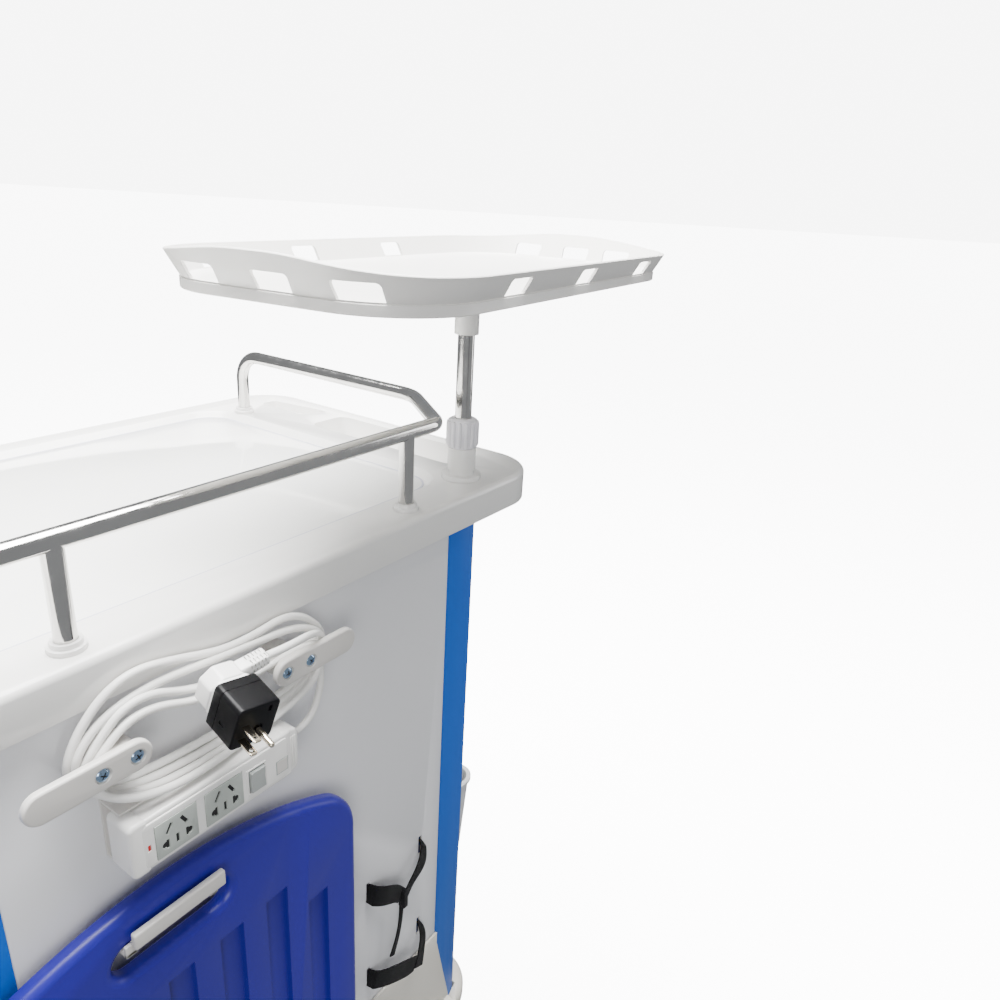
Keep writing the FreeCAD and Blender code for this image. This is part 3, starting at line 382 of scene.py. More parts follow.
def rotate(obj, degrees, axis):
    """Turn the mesh about an axis through its object's origin."""
    return place(obj, Matrix.Rotation(math.radians(degrees), 4, axis))


def to_cart(obj):
    """A piece drawn in millimetres about the middle of the working surface goes to its place."""
    return place(obj, Matrix.Translation(CENTRE))


def join(name, objects):
    """Several meshes as one piece; their materials stay."""
    bm = bmesh.new()
    materials = []
    for obj in objects:
        offset = len(materials)
        materials += list(obj.data.materials)
        start = len(bm.faces)
        bm.from_mesh(obj.data)
        bm.faces.ensure_lookup_table()
        for face in bm.faces[start:]:
            face.material_index += offset
    data = bpy.data.meshes.new(name)
    bm.to_mesh(data)
    bm.free()
    for material in materials:
        data.materials.append(material)
    for obj in objects:
        bpy.data.objects.remove(obj)
    return link(name, data)


def finish_piece(obj, material, body, slot, *nodes):
    """Paint a piece, let it ride on a body, and hide the CAD nodes it stands for. Its slot argument is not
    used.
    """
    if material:
        paint(obj, material)
    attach(obj, body)
    if nodes:
        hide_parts(*nodes)
    return obj


# ------------------------------------------------------------------ power cord

CORD_D = 6.6
LEAD_ROUTE = [(14, 275, -150), (-3, 275, -150), (-18, 273, -145), (-29, 270, -133), (-36, 268, -118)]
TAIL_ROUTE = [(52.4, 303, -35.3), (38, 302.5, -37), (17, 296, -42.5), (-6, 287, -49), (-25, 278, -58.5),
              (-36, 274, -75)]

# The turns on the two hooks, from the first, against the panel, to the last: how far they reach at
# the left and right ends, and their distance from the panel.
TURNS, STEPS_PER_TURN = 4, 24
TURN_LEFT = (199, 196, 192, 188, 186)
TURN_RIGHT = (-42, -40, -36, -33, -31)
TURN_Y = (264.5, 267, 270.5, 274, 277)
TURN_MIDDLE, ROUNDNESS = -80.0, 2.5
COIL_START, COIL_END = -18, 360 * TURNS - 22     # degrees
# Upper strand of each turn: its level, how far and how widely it rises over the left hook, and how
# far it rises over the right one. Lower strand: its level, and how far it hangs out from the panel.
UPPER = ((-42, 25, 52, 12), (-47, 12, 80, 4), (-64, 27, 40, 4), (-70, 22, 38, 6))
LOWER = ((-111, 0), (-117, 2), (-121, 5), (-122, 10))
RISE_LEFT_X, RISE_RIGHT_X, RISE_RIGHT_WIDTH = 145, -3, 33
HANG_X, HANG_WIDTH = 130, 65
RISE_GROWTH, HANG_GROWTH = 1.5, 1.4              # how soon a strand takes its full rise or hang


def between(values, turn):
    """Value of a table of turns at a fractional turn."""
    i = min(int(turn), len(values) - 2)
    share = turn - i
    return values[i] * (1 - share) + values[i + 1] * share


def hump(x, middle, width):
    return math.exp(-((x - middle) / width) ** 2)


def coil_points():
    """Loose turns round the hooks, from the right end over the top to the left end and back below."""
    points = []
    count = TURNS * STEPS_PER_TURN
    for i in range(count + 1):
        degrees = COIL_START + (COIL_END - COIL_START) * i / count
        across, up = math.cos(math.radians(degrees)), math.sin(math.radians(degrees))
        turn = TURNS * i / count
        left, right = between(TURN_LEFT, turn), between(TURN_RIGHT, turn)
        half = (left - right) / 2
        x = (left + right) / 2 - half * math.copysign(abs(across) ** (2 / ROUNDNESS), across)
        y = between(TURN_Y, turn)
        number = max(0, int(degrees // 360))
        if up > 0:
            level, rise, width, rise_right = UPPER[number]
            over_right = rise_right * hump(x, RISE_RIGHT_X, RISE_RIGHT_WIDTH)
            share = min(1.0, up * RISE_GROWTH)
            extra = share * (rise * hump(x, RISE_LEFT_X, width) + over_right)
        else:
            level, hang = LOWER[number]
            extra = 0.0
            y += min(1.0, -up * HANG_GROWTH) * hang * hump(x, HANG_X, HANG_WIDTH)
        z = TURN_MIDDLE + (level - TURN_MIDDLE) * abs(up) ** (2 / ROUNDNESS) + extra
        points.append((x, y, z))
    return points


def nurbs(name, points, diameter, resolution):
    """Curve of one open spline that follows the points, which are in the frame's metres."""
    curve = bpy.data.curves.new(name, "CURVE")
    curve.dimensions = "3D"
    curve.bevel_depth = diameter * MM / 2
    curve.bevel_resolution = 6
    curve.use_fill_caps = True
    spline = curve.splines.new("NURBS")
    spline.points.add(len(points) - 1)
    for point, co in zip(spline.points, points):
        point.co = (*co, 1.0)
    spline.order_u = 3
    spline.use_endpoint_u = True
    spline.resolution_u = resolution
    return link(name, curve)


def line_length(obj):
    """Length of a curve's own line."""
    plain = obj.data.copy()
    plain.bevel_depth = 0
    probe = link("probe", plain)
    evaluated = probe.evaluated_get(bpy.context.evaluated_depsgraph_get())
    data = bpy.data.meshes.new_from_object(evaluated)
    ends = [edge.vertices for edge in data.edges]
    total = sum((data.vertices[a].co - data.vertices[b].co).length for a, b in ends)
    bpy.data.objects.remove(probe)
    return total


cord_points = [at(*p) for p in LEAD_ROUTE + coil_points() + TAIL_ROUTE[::-1]]
power_cord = nurbs("power_cord", cord_points, CORD_D, 6)
CORD_LENGTH = round(line_length(power_cord), 2)
finish_piece(power_cord, "cord_white", "cart", "cord_white", "cord_coil", "cord_lead", "cord_tail")


# ------------------------------------------------------------------ plug and travel adapter

ADAPTER_AT, ADAPTER_SIZE = (90.2, 320.0, -58.3), (36.5, 33.0, 38.5)
ADAPTER_TURN = (-9.3, -14.8, -5.9)      # degrees about Y, X and Z in that order
SEAM_Y, SEAM_DEPTH = (-7.4, -6.8), 0.7
BLADE_AT, BLADE_PITCH = (9.3, -4.2), 12.7        # x, and the height midway between the two blades
BLADE_HALF, BLADE_LENGTH = (3.2, 0.75), 17       # half width and half thickness; length past the face
BLADE_HOLE_R, BLADE_HOLE_OUT = 1.7, 12.5
PIN_OFF, PIN_R, PIN_WELL_R = 11.9, 2.4, 4.6      # the round pin, and the well that it stands in
PLUG_X, PLUG_Z, PLUG_CORNER, PLUG_DEPTH = (-17, 18), (-17, 19), 9.0, 20
NECK_LENGTH, NECK_WIDTH, NECK_TURN = 22.0, 12.6, 19.0
NECK_ROWS, NECK_PITCH, NECK_STAGGER = 5, 3.1, 0.8


def aim():
    """From the adapter's own axes, pins towards +Y, to where it hangs."""
    roll, pitch, yaw = (math.radians(a) for a in ADAPTER_TURN)
    turn = Matrix.Rotation(yaw, 4, "Z") @ Matrix.Rotation(pitch, 4, "X") @ Matrix.Rotation(roll, 4, "Y")
    return Matrix.Translation(at(*ADAPTER_AT)) @ turn


def along_y(obj):
    """A piece drawn along Z comes to lie along +Y."""
    return rotate(obj, -90, "X")


def make_blade(z):
    """Flat pin with rounded corners and a hole near its tip."""
    front, x = ADAPTER_SIZE[1] / 2, BLADE_AT[0]
    half, thin = BLADE_HALF
    outline = rounded_outline(x - half, x + half, front - 3, front + BLADE_LENGTH, half / 2, 4)
    blade = along_y(prism("blade", outline, -z - thin, -z + thin, 0.25, 2))
    hole = lathe("hole", [(0, -3), (BLADE_HOLE_R, -3), (BLADE_HOLE_R, 3), (0, 3)], 24)
    move(hole, x, front + BLADE_HOLE_OUT, z)
    return paint(cut(blade, [hole]), "brass_pin")


def make_adapter():
    w, d, h = ADAPTER_SIZE
    front = d / 2
    shell = prism("shell", rounded_outline(-w / 2, w / 2, -h / 2, h / 2, 4.5, 6), -front, front, 1.2, 3)
    a, b = w / 2 - SEAM_DEPTH, h / 2 - SEAM_DEPTH
    core = prism("core", rounded_outline(-a, a, -b, b, 4, 6), SEAM_Y[0] - 1.6, SEAM_Y[1] + 1.8)
    seam = cut(block("seam", (-w, SEAM_Y[0], -h), (w, SEAM_Y[1], h), 0), [core])
    x, mid = BLADE_AT
    front_notch = block("s", (-11.2, front - 3, 10), (-8.4, front + 1, 15.5), 0)
    side_notch = block("s", (w / 2 - 0.9, -2, -6), (w / 2 + 1, 4, -3.5), 0)
    well = along_y(lathe("well", [(0, 0), (PIN_WELL_R, 0), (PIN_WELL_R, 4), (0, 4)], 32))
    move(well, x - PIN_OFF, front - 1.2, mid)
    shell = paint(cut(shell, [seam, front_notch, side_notch, well]), "adapter_black")
    blades = [make_blade(mid - BLADE_PITCH / 2), make_blade(mid + BLADE_PITCH / 2)]
    pin = along_y(lathe("pin", [(0, 0), (PIN_R, 0), (PIN_R, 20), (2.2, 21.2), (1.5, 22), (0, 22.3)], 28))
    move(pin, x - PIN_OFF, front - 1.4, mid)
    adapter = place(join("travel_adapter", [shell, paint(pin, "brass_pin"), *blades]), aim())
    return finish_piece(adapter, None, "cart", "adapter_black", "adapter")


def make_plug():
    """Block with cut corners, and a rounded waist where it meets the adapter."""
    back, c = -ADAPTER_SIZE[1] / 2, PLUG_CORNER
    (x0, x1), (z0, z1) = PLUG_X, PLUG_Z
    outline = [(x0 + c, z0), (x1 - c, z0), (x1, z0 + c), (x1, z1 - c), (x1 - c, z1), (x0 + c, z1),
               (x0, z1 - c), (x0, z0 + c)]
    body = prism("plug_body", outline, back - PLUG_DEPTH, back - 2.2, 2.0, 4)
    inset = rounded_outline(x0 + 1, x1 - 1, z0 + 1, z1 - 1, 8, 8)
    waist = prism("waist", inset, back - 4, back + 0.1, 0.5, 2)
    plug = join("white_plug", [paint(body, "plug_white"), paint(waist, "plug_white")])
    return finish_piece(smooth(place(plug, aim())), None, "cart", "plug_white", "plug")


def make_neck():
    """Strain relief: a tapering block with staggered rows of slots in each side, drawn straight; the slots
    are the kind that let a real one bend.
    """
    outline = [(-NECK_LENGTH, -NECK_WIDTH * 0.40), (4, -NECK_WIDTH / 2), (4, NECK_WIDTH / 2),
               (-NECK_LENGTH, NECK_WIDTH * 0.40)]
    neck = prism("neck", outline, -NECK_WIDTH / 2, NECK_WIDTH / 2, 1.8, 3)
    slots = []
    low, high = NECK_WIDTH / 2 - 2.6, NECK_WIDTH / 2 + 2
    for quarter in range(4):
        for i in range(NECK_ROWS):
            for side in (-1, 1):
                x = -6.5 - NECK_PITCH * i - NECK_STAGGER * side
                y = sorted((side * 0.7, side * 4.9))
                slot = block("slot", (x - 0.6, y[0], low), (x + 0.6, y[1], high), 0)
                slots.append(rotate(slot, 90 * quarter, "X"))
    neck = cut(neck, [join("slots", slots)])
    local = Matrix.Translation(Vector((-12, -ADAPTER_SIZE[1] / 2 - 10.5, 15.2)) * MM)
    neck = place(neck, aim() @ local @ Matrix.Rotation(math.radians(NECK_TURN), 4, "Y"))
    neck.name = "plug_neck"
    return finish_piece(smooth(neck), "plug_white", "cart", "plug_white", "plug_relief")


travel_adapter, white_plug, plug_neck = make_adapter(), make_plug(), make_neck()


# ------------------------------------------------------------------ cord hooks

HOOK_Z, HOOK_Y, HOOK_ARM = -75.0, 281.0, (92.0, 25.0, 7.0)
HOOKS = ((145.0, 1), (31.0, -1))        # inner end of each arm, and the way that it points
SCREWS = (12, 38)                       # from the inner end of the arm
SCREW_R = 4.9
STEM, STEM_HALF, STEM_FOOT_Y = (6, 40), 10, 248.7
RECESS = (2.7, 0.55)                    # half length and half width of a bar of the cross recess


def cross(name, length, width, back, front):
    """Two crossed bars, given by half their length and half their width."""
    return [block(name, (-a, back, -b), (a, front, b), 0) for a, b in ((length, width), (width, length))]


def make_hook(name, end, side):
    """Arm with a well for each screw, on a stem from the panel."""
    length, height, thick = HOOK_ARM
    x = sorted((end, end + side * length))
    front = HOOK_Y + thick
    arm = prism(name, stadium(*x, HOOK_Z - height / 2, HOOK_Z + height / 2, 20), HOOK_Y, front, 2.2, 5)
    wells = []
    for along in SCREWS:
        well = along_y(lathe("well", [(0, -1.6), (SCREW_R + 0.9, -1.6), (SCREW_R + 1.7, 1), (0, 1)], 36))
        wells.append(move(well, end + side * along, front, HOOK_Z))
    arm = cut(arm, [join("wells", wells)])
    stem_x = sorted(end + side * along for along in STEM)
    outline = stadium(*stem_x, HOOK_Z - STEM_HALF, HOOK_Z + STEM_HALF, 12)
    stem = prism("stem", outline, STEM_FOOT_Y, HOOK_Y + 1, 0)
    return to_cart(join(name, [paint(arm, "bracket_white"), paint(stem, "bracket_white")]))


def make_screw(x, turn):
    """Pan head with a cross recess, set in the arm, with painted shade in the recess."""
    head = along_y(lathe("screw", [(0, -1.5), (SCREW_R, -1.5), (SCREW_R, -0.2), (SCREW_R * 0.8, 0.7),
                                   (SCREW_R * 0.4, 1.15), (0, 1.25)], 36))
    head = paint(cut(head, cross("bar", *RECESS, 0, 3)), "screw_zinc")
    # A near-black cross at the floor of the recess is painted shade, so that the recess reads darker.
    floor = [paint(painted_recess_shade, "slot_dark") for painted_recess_shade in cross("painted_recess_shade", 2.5, 0.5, -0.6, 0.15)]
    head = rotate(join("screw", [head, *floor]), turn, "Y")
    return move(head, x, HOOK_Y + HOOK_ARM[2] - 0.6, HOOK_Z)


def add_hooks():
    made = [make_hook("hook", *hook) for hook in HOOKS]
    finish_piece(join("cord_hooks_pair", made), None, "cart", "bracket_white", "cord_hooks")
    heads = []
    turn = 20                           # each recess stands at its own angle
    for end, side in HOOKS:
        for along in SCREWS:
            heads.append(make_screw(end + side * along, turn))
            turn += 38
    finish_piece(to_cart(join("hook_screw_heads", heads)), None, "cart", "zinc_steel", "hook_screws")


add_hooks()


# ------------------------------------------------------------------ power strip

STRIP_X, STRIP_Y, STRIP_Z = (14.0, 175.0), (262.0, 293.5), (-176.0, -127.0)
SOCKETS, ROCKER_X, STRIP_MID = (137.5, 94.0), 62.0, -153.5
LED_AT, PLATE_AT = (160.6, -153.7), (35.0, -157.8)
TROUGH_AT, TROUGH_HALF = (97.5, -154.0), (67.5, 17)    # behind the face plate, where the sockets sit
ROCKER_HALF, ROCKER_FRAME = (9, 12), 0.8
RIDGES, RIDGE_PITCH = 5, 2.7
# Slots of a socket: place from its middle, turn, and half the width and height.
SOCKET_SLOTS = ((-6.5, 7.0, 30, (1.4, 4.8)), (6.5, 7.0, -30, (1.4, 4.8)), (0, -6.2, 0, (1.4, 4.3)),
                (-8.4, -6.2, 0, (1.3, 4.2)), (8.4, -6.2, 0, (1.3, 4.2)))
SOCKET_ROUND_R, SOCKET_ROUND_X, SOCKET_ROUND_Z = 3.1, 10.2, -6.2


def on_face(name, centre, half, depth, round_by=0, segments=3):
    """Block on the strip's face: its middle, half its width and height, and its back and front."""
    (x, z), (a, b) = centre, half
    back, front = (STRIP_Y[1] + d for d in depth)
    return block(name, (x - a, back, z - b), (x + a, front, z + b), round_by, segments)


def make_strip():
    """Housing with end caps, face plate, ridges, lamp and a blank plate."""
    (x0, x1), (y0, y1), (z0, z1) = STRIP_X, STRIP_Y, STRIP_Z
    body = prism("strip", rounded_outline(x0 + 9, x1 - 7, z0 + 1, z1 - 1, 3, 4), y0, y1 - 1.2, 2.5, 4)
    face = prism("face", rounded_outline(x0 + 14, x1 - 10, z0 + 5, z1 - 5, 4, 5), y1 - 6, y1, 0.9, 3)
    cutters = [on_face("c", (mid, STRIP_MID), (18.2, 16.2), (-3, 1)) for mid in SOCKETS]
    cutters.append(on_face("c", (ROCKER_X, STRIP_MID), ROCKER_HALF, (-9, 1)))
    cutters.append(on_face("c", LED_AT, (1.6, 3), (-2, 1)))
    body = cut(body, [on_face("c", TROUGH_AT, TROUGH_HALF, (-9, 1))])
    face = cut(face, cutters)
    left = prism("left_cap", rounded_outline(x1 - 16, x1, z0, z1, 5, 6), y0 + 1, y1 - 0.2, 3.2, 5)
    tapered = [(x0, z0 + 7), (x0 + 3, z0 + 3), (x0 + 18, z0), (x0 + 18, z1), (x0 + 3, z1 - 3), (x0, z1 - 7)]
    right = prism("right_cap", tapered, y0 + 1, y1 - 2.4, 2.4, 4)
    ribs = []
    for i in range(RIDGES):
        x = x0 + RIDGE_PITCH * i
        ribs.append(block("rib", (x + 4, y1 - 7, z0 + 9), (x + 5.3, y1 - 1.2, z1 - 9), 0.5, 2))
    floor = on_face("floor", TROUGH_AT, (TROUGH_HALF[0], TROUGH_HALF[1] + 1), (-10, -6))
    (a, b), w = ROCKER_HALF, ROCKER_FRAME
    rim = [on_face("rim", (ROCKER_X + s * a, STRIP_MID), (w, b + 0.6), (-3, 0.9), 0.5) for s in (-1, 1)]
    rim += [on_face("rim", (ROCKER_X, STRIP_MID + s * b), (a + 0.6, w), (-3, 0.9), 0.5) for s in (-1, 1)]
    parts = [paint(o, "abs_white") for o in (body, face, left, right, floor, *ribs, *rim)]
    lens = on_face("lens", LED_AT, (1.4, 2.8), (-2, -0.3), 0.5)
    plate = on_face("plate", PLATE_AT, (6.5, 7), (-1, 0.2), 0.2, 1)
    inner = on_face("inner", PLATE_AT, (5.6, 6.1), (-1, 0.35), 0.1, 1)
    parts += [paint(lens, "led_red"), paint(plate, "switch_grey"), paint(inner, "bracket_white")]
    return finish_piece(to_cart(join("strip_housing", parts)), None, "cart", "abs_white", "strip_body")


def make_sockets():
    """Grey inserts with two slanted slots above, and a straight one between two wide ones below, with
    painted shade behind the slots.
    """
    y1 = STRIP_Y[1]
    profile = [(0, y1 - 5), (SOCKET_ROUND_R, y1 - 5), (SOCKET_ROUND_R, y1 + 2), (0, y1 + 2)]
    made = []
    for mid in SOCKETS:
        insert = on_face("insert", (mid, STRIP_MID), (17.9, 15.9), (-0.8, 0.6), 0.4, 2)
        cutters = []
        for dx, dz, turn, (a, b) in SOCKET_SLOTS:
            slot = rotate(block("slot", (-a, y1 - 5, -b), (a, y1 + 2, b), 0), turn, "Y")
            cutters.append(move(slot, mid + dx, 0, STRIP_MID + dz))
        for dx in (-SOCKET_ROUND_X, SOCKET_ROUND_X):
            hole = along_y(lathe("round", profile, 20))
            cutters.append(move(hole, mid + dx, 0, STRIP_MID + SOCKET_ROUND_Z))
        insert = paint(cut(insert, cutters), "socket_grey")
        # A near-black plate behind each insert, seen through its slots, is painted shade.
        back = on_face("back", (mid, STRIP_MID), (17, 15), (-3, -0.7))
        made += [insert, paint(back, "slot_dark")]
    return finish_piece(to_cart(join("socket_inserts", made)), None, "cart", "socket_grey", "strip_sockets")


def make_rocker():
    """Rocker whose two halves slope to its middle line."""
    back, edge, middle = (STRIP_Y[1] + d for d in (-4.0, 3.4, 2.4))
    side = [(back, -10), (edge, -10), (middle, 0), (edge, 10), (back, 10)]
    rocker = rotate(prism("rocker", side, -ROCKER_X - 7.3, -ROCKER_X + 7.3, 0.7, 3), 90, "Z")
    move(rocker, 0, 0, STRIP_MID)
    rocker.name = "rocker_cap"
    return finish_piece(to_cart(rocker), "switch_grey", "rocker", "switch_grey", "strip_switch")


make_strip()
make_sockets()
make_rocker()


# ------------------------------------------------------------------ clamp nut

NUT_RIBS, NUT_R, NUT_BORE = 14, 16.6, 9.9


def make_nut():
    """Clamp nut with rounded ribs, on the socket's sleeve."""
    low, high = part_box("clamp_nut")
    centre = (low + high) / 2
    half = (high.z - low.z) / 2 / MM
    body = lathe("nut", [(NUT_BORE, -half), (15.4, -half), (16.4, -half + 3), (NUT_R, half - 5),
                         (15.0, half - 1.2), (12.5, half), (NUT_BORE, half), (NUT_BORE, -half)], 64)
    parts = [paint(body, "nut_white")]
    rib_profile = [(0, -half + 1), (1.5, -half + 1.4), (2.4, -half + 4), (2.4, half - 7),
                   (1.7, half - 3.4), (0, half - 2.2)]
    for i in range(NUT_RIBS):
        angle = 2 * math.pi * i / NUT_RIBS
        rib = move(lathe("rib", rib_profile, 12), NUT_R * math.cos(angle), NUT_R * math.sin(angle), 0)
        parts.append(paint(rib, "nut_white"))
    nut = place(join("ribbed_nut", parts), Matrix.Translation(centre))
    return finish_piece(nut, None, "pole_nut", "abs_white", "clamp_nut")


make_nut()


# ------------------------------------------------------------------ board straps

# Each band: x, y, z of its middle line, and half its width.
UPPER_STRAP = (
    [(-116.5, 247.5, -464, 12), (-118.5, 258, -464.5, 12.3), (-130, 264, -470, 12.5),
     (-145, 264.5, -479, 12), (-155, 263, -489, 10), (-161, 262, -498, 9)],
    [(-211.5, 247.5, -455, 2), (-209, 256, -459, 6), (-202, 262, -468, 9.5), (-193, 264.5, -475, 9.5),
     (-183, 265, -481, 6.5), (-172, 265.5, -488, 5.5), (-162, 266, -500, 6)],
    [(-161.5, 262, -500, 3.6), (-161.5, 262, -520, 3.4), (-160.5, 261, -545, 3.2), (-156, 260, -568, 3.2),
     (-147, 260, -587, 4.5)])
LOWER_STRAP = (
    [(-116.5, 247.5, -602, 12), (-118.5, 258, -602.5, 12.3), (-134, 265, -607, 12.5), (-154, 267, -616, 13),
     (-174, 268, -626, 13), (-186, 267, -632, 11)],
    [(-211.5, 247.5, -594, 2), (-210.5, 256, -599, 5.5), (-206, 262, -607, 6.5), (-200, 265, -617, 6.5),
     (-193, 268.5, -629, 7.5), (-188, 269.5, -639, 9)])
BUCKLE = ((-165.5, 259.5, -512), (-158, 269.5, -486))


def ribbon(name, stations, thick=2.2):
    """Soft tape along a line that stays nearly parallel to the rear panel."""
    bm = bmesh.new()
    rows = []
    for i, (x, y, z, half) in enumerate(stations):
        before, after = stations[max(0, i - 1)], stations[min(len(stations) - 1, i + 1)]
        along = Vector((after[0] - before[0], 0, after[2] - before[2])).normalized()
        across = Vector((-along.z, 0, along.x)) * half
        middle = Vector((x, y, z))
        rows.append([bm.verts.new((middle + across * k) * MM) for k in (-1, -0.33, 0.33, 1)])
    for first, second in zip(rows, rows[1:]):
        for k in range(3):
            bm.faces.new((first[k], first[k + 1], second[k + 1], second[k]))
    bmesh.ops.recalc_face_normals(bm, faces=bm.faces)
    tape = from_bmesh(name, bm)
    solid = tape.modifiers.new("thick", "SOLIDIFY")
    solid.thickness, solid.offset = thick * MM, 0.0
    crease = tape.modifiers.new("rim", "BEVEL")
    crease.width, crease.segments = 0.35 * MM, 1
    rounder = tape.modifiers.new("soft", "SUBSURF")
    rounder.levels = rounder.render_levels = 2
    return smooth(bake_modifiers(tape), 50)


def add_straps():
    bands = [ribbon("band", line) for line in UPPER_STRAP]
    bands.append(block("buckle", *BUCKLE, 1.2, 3))
    for obj in bands:
        paint(obj, "strap_black")
    finish_piece(to_cart(join("upper_strap_bands", bands)), None, "cart", "strap_black", "strap_upper")
    bands = [paint(ribbon("band", line), "strap_black") for line in LOWER_STRAP]
    finish_piece(to_cart(join("lower_strap_bands", bands)), None, "cart", "strap_black", "strap_lower")


add_straps()


# ------------------------------------------------------------------ board bracket

BRACKET_LIP = ((95, 281.6, -246.4), (178.4, 287.9, -231.2))
BRACKET_ARMS = ((100, 108), (174, 183.5))
BRACKET_FOOT_Y, BRACKET_ARM_Y, BRACKET_Z = 248.5, 282.0, (-254.3, -250.0)


def make_bracket():
    """Bar across the hand slot, on two flat arms that come through it from the panel."""
    parts = [block("lip", *BRACKET_LIP, 1.8, 4)]
    low, high = BRACKET_Z
    for x0, x1 in BRACKET_ARMS:
        parts.append(block("arm", (x0, BRACKET_FOOT_Y, low), (x1, BRACKET_ARM_Y, high), 0.8, 2))
        tab_low, tab_high = (x0, BRACKET_ARM_Y - 3.4, low + 0.3), (x1, BRACKET_ARM_Y, high + 7)
        parts.append(block("tab", tab_low, tab_high, 0.8, 2))
    parts = [paint(part, "bracket_white") for part in parts]
    return finish_piece(to_cart(join("bracket_bar", parts)), None, "cart", "bracket_white", "board_bracket")


make_bracket()


# ------------------------------------------------------------------ edge of the clear sheet

SHEET_R, SHEET_BORDER = 38, 2.4


def add_sheet_edge():
    """Thin raised border along the clear sheet, where light gathers."""
    low, high = (Vector(v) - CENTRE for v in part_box("clear_mat"))
    low, high = low / MM, high / MM
    w = SHEET_BORDER
    outline = rounded_outline(low.x, high.x, -high.y, -low.y, SHEET_R, 10)
    outer = prism("sheet_edge", outline, high.z - 0.6, high.z + 0.25)
    inset = rounded_outline(low.x + w, high.x - w, w - high.y, -w - low.y, SHEET_R - w, 10)
    inner = prism("inner", inset, high.z - 2, high.z + 2)
    edge = rotate(cut(outer, [inner]), 90, "X")
    return finish_piece(to_cart(edge), "mat_edge", "cart", "mat_clear")


add_sheet_edge()


# ------------------------------------------------------------------ swivel tray

TRAY_AT, TRAY_TURN = (-290.3, 215.8), 6.3
TRAY_HALF, TRAY_R, TRAY_Z = (285.0, 142.5), 82.0, 226.6
SKIRT, RIM, FLARE, END_RISE = 9.5, 21.7, 10.5, 9.6
ARCH_FLAT, ARCH_LENGTH = 12, 126        # half of the arch's level top, and its slope to each side
# Middles of the slots along each side: rear and front ones, then the ones in the two ends.
SLOTS_REAR, SLOTS_FRONT = (143, -1, -161), (198, 74, -79)
SLOTS_RIGHT, SLOTS_LEFT = (-64, 12, 88), (-62, 8, 66)
SLOT_Z = (SKIRT + 1.2, SKIRT + 15.6)
SIDE_PIECES = 12                        # lengths that each straight side is drawn in


def tray_outline(steps=14):
    """Points of the rounded rectangle with the outward direction at each."""
    (a, b), r = TRAY_HALF, TRAY_R
    points = []
    for cx, cy, start in ((a - r, b - r, 0), (r - a, b - r, 90), (r - a, r - b, 180), (a - r, r - b, 270)):
        for i in range(steps + 1):
            angle = math.radians(start + 90 * i / steps)
            out = (math.cos(angle), math.sin(angle))
            points.append(((cx + r * out[0], cy + r * out[1]), out))
        last, out = points[-1]
        span = 2 * (b - r) if start in (90, 270) else 2 * (a - r)
        step = (-out[1] * span / SIDE_PIECES, out[0] * span / SIDE_PIECES)
        points += [((last[0] + step[0] * k, last[1] + step[1] * k), out) for k in range(1, SIDE_PIECES)]
    return points


def rim_height(x, y):
    """The rim rises in a low arch over the middle of each end."""
    if abs(x) < TRAY_HALF[0] - TRAY_R:
        return RIM
    share = min(1.0, max(0.0, (abs(y) - ARCH_FLAT) / ARCH_LENGTH))
    return RIM + END_RISE * (0.5 + 0.5 * math.cos(math.pi * share))


def tray_rows(x, y):
    """Offset and level of each line of the section, from the underside over the rim to the floor."""
    high = rim_height(x, y)
    lean = FLARE * high / RIM
    skirt = [(-4.0, SKIRT - 3.5), (-3.2, 0.4), (-2.6, 0.0), (-0.7, 0.0), (0.0, 0.7), (0.0, SKIRT - 0.6),
             (-0.5, SKIRT - 0.1), (-1.4, SKIRT), (-1.4, SKIRT + 0.5), (-0.4, SKIRT + 1.0)]
    rim = [(lean * 0.5, high / 2), (lean, high - 1.3), (lean - 0.5, high - 0.4), (lean - 1.5, high),
           (lean - 2.6, high - 0.4), (lean - 3.2, high - 1.5), (lean * 0.5 - 3.2, high / 2), (-3.0, 1.6),
           (-3.6, 0.5), (-4.8, 0.0)]
    return skirt + [(offset, SKIRT + level) for offset, level in rim]


def make_tray():
    """Flat tray whose rim leans out, with slots through the rim."""
    bm = bmesh.new()
    columns = []
    for (x, y), out in tray_outline():
        columns.append([bm.verts.new(Vector((x + out[0] * o, y + out[1] * o, z)) * MM)
                        for o, z in tray_rows(x, y)])
    for first, second in zip(columns, columns[1:] + columns[:1]):
        for k in range(len(first) - 1):
            bm.faces.new((first[k], second[k], second[k + 1], first[k + 1]))
    bm.faces.new([column[-1] for column in columns])
    bm.faces.new([column[0] for column in columns][::-1])
    bmesh.ops.recalc_face_normals(bm, faces=bm.faces)
    tray = from_bmesh("tray", bm)
    cutters = []
    low, high = SLOT_Z
    shape = [(-17.5, low), (17.5, low), (18.5, high - 3), (17.6, high - 0.9), (15.5, high), (-15.5, high),
             (-17.6, high - 0.9), (-18.5, high - 3)]
    for places, side in ((SLOTS_REAR, 0), (SLOTS_LEFT, 1), (SLOTS_FRONT, 2), (SLOTS_RIGHT, 3)):
        half = TRAY_HALF[side % 2 == 0]
        for along in places:
            slot = prism("slot", shape, half - 45, half + 40, 0)
            move(slot, along if side < 2 else -along, 0, 0)
            cutters.append(rotate(slot, 90 * side, "Z"))
    tray = smooth(cut(tray, cutters), 40)
    turn = Matrix.Rotation(math.radians(TRAY_TURN), 4, "Z")
    place(tray, Matrix.Translation(Vector((*TRAY_AT, TRAY_Z)) * MM) @ turn)
    tray.name = "swivel_tray"
    return finish_piece(to_cart(tray), "tray_white", "shelf", "abs_white", "shelf_tray")


make_tray()


# ------------------------------------------------------------------ drawer label holders

LABEL_X, LABEL_HALF, LABEL_DROP, FRONT_FACE = -165.0, (38.0, 13.0), 45.0, -268.5
LABEL_RIM = 3


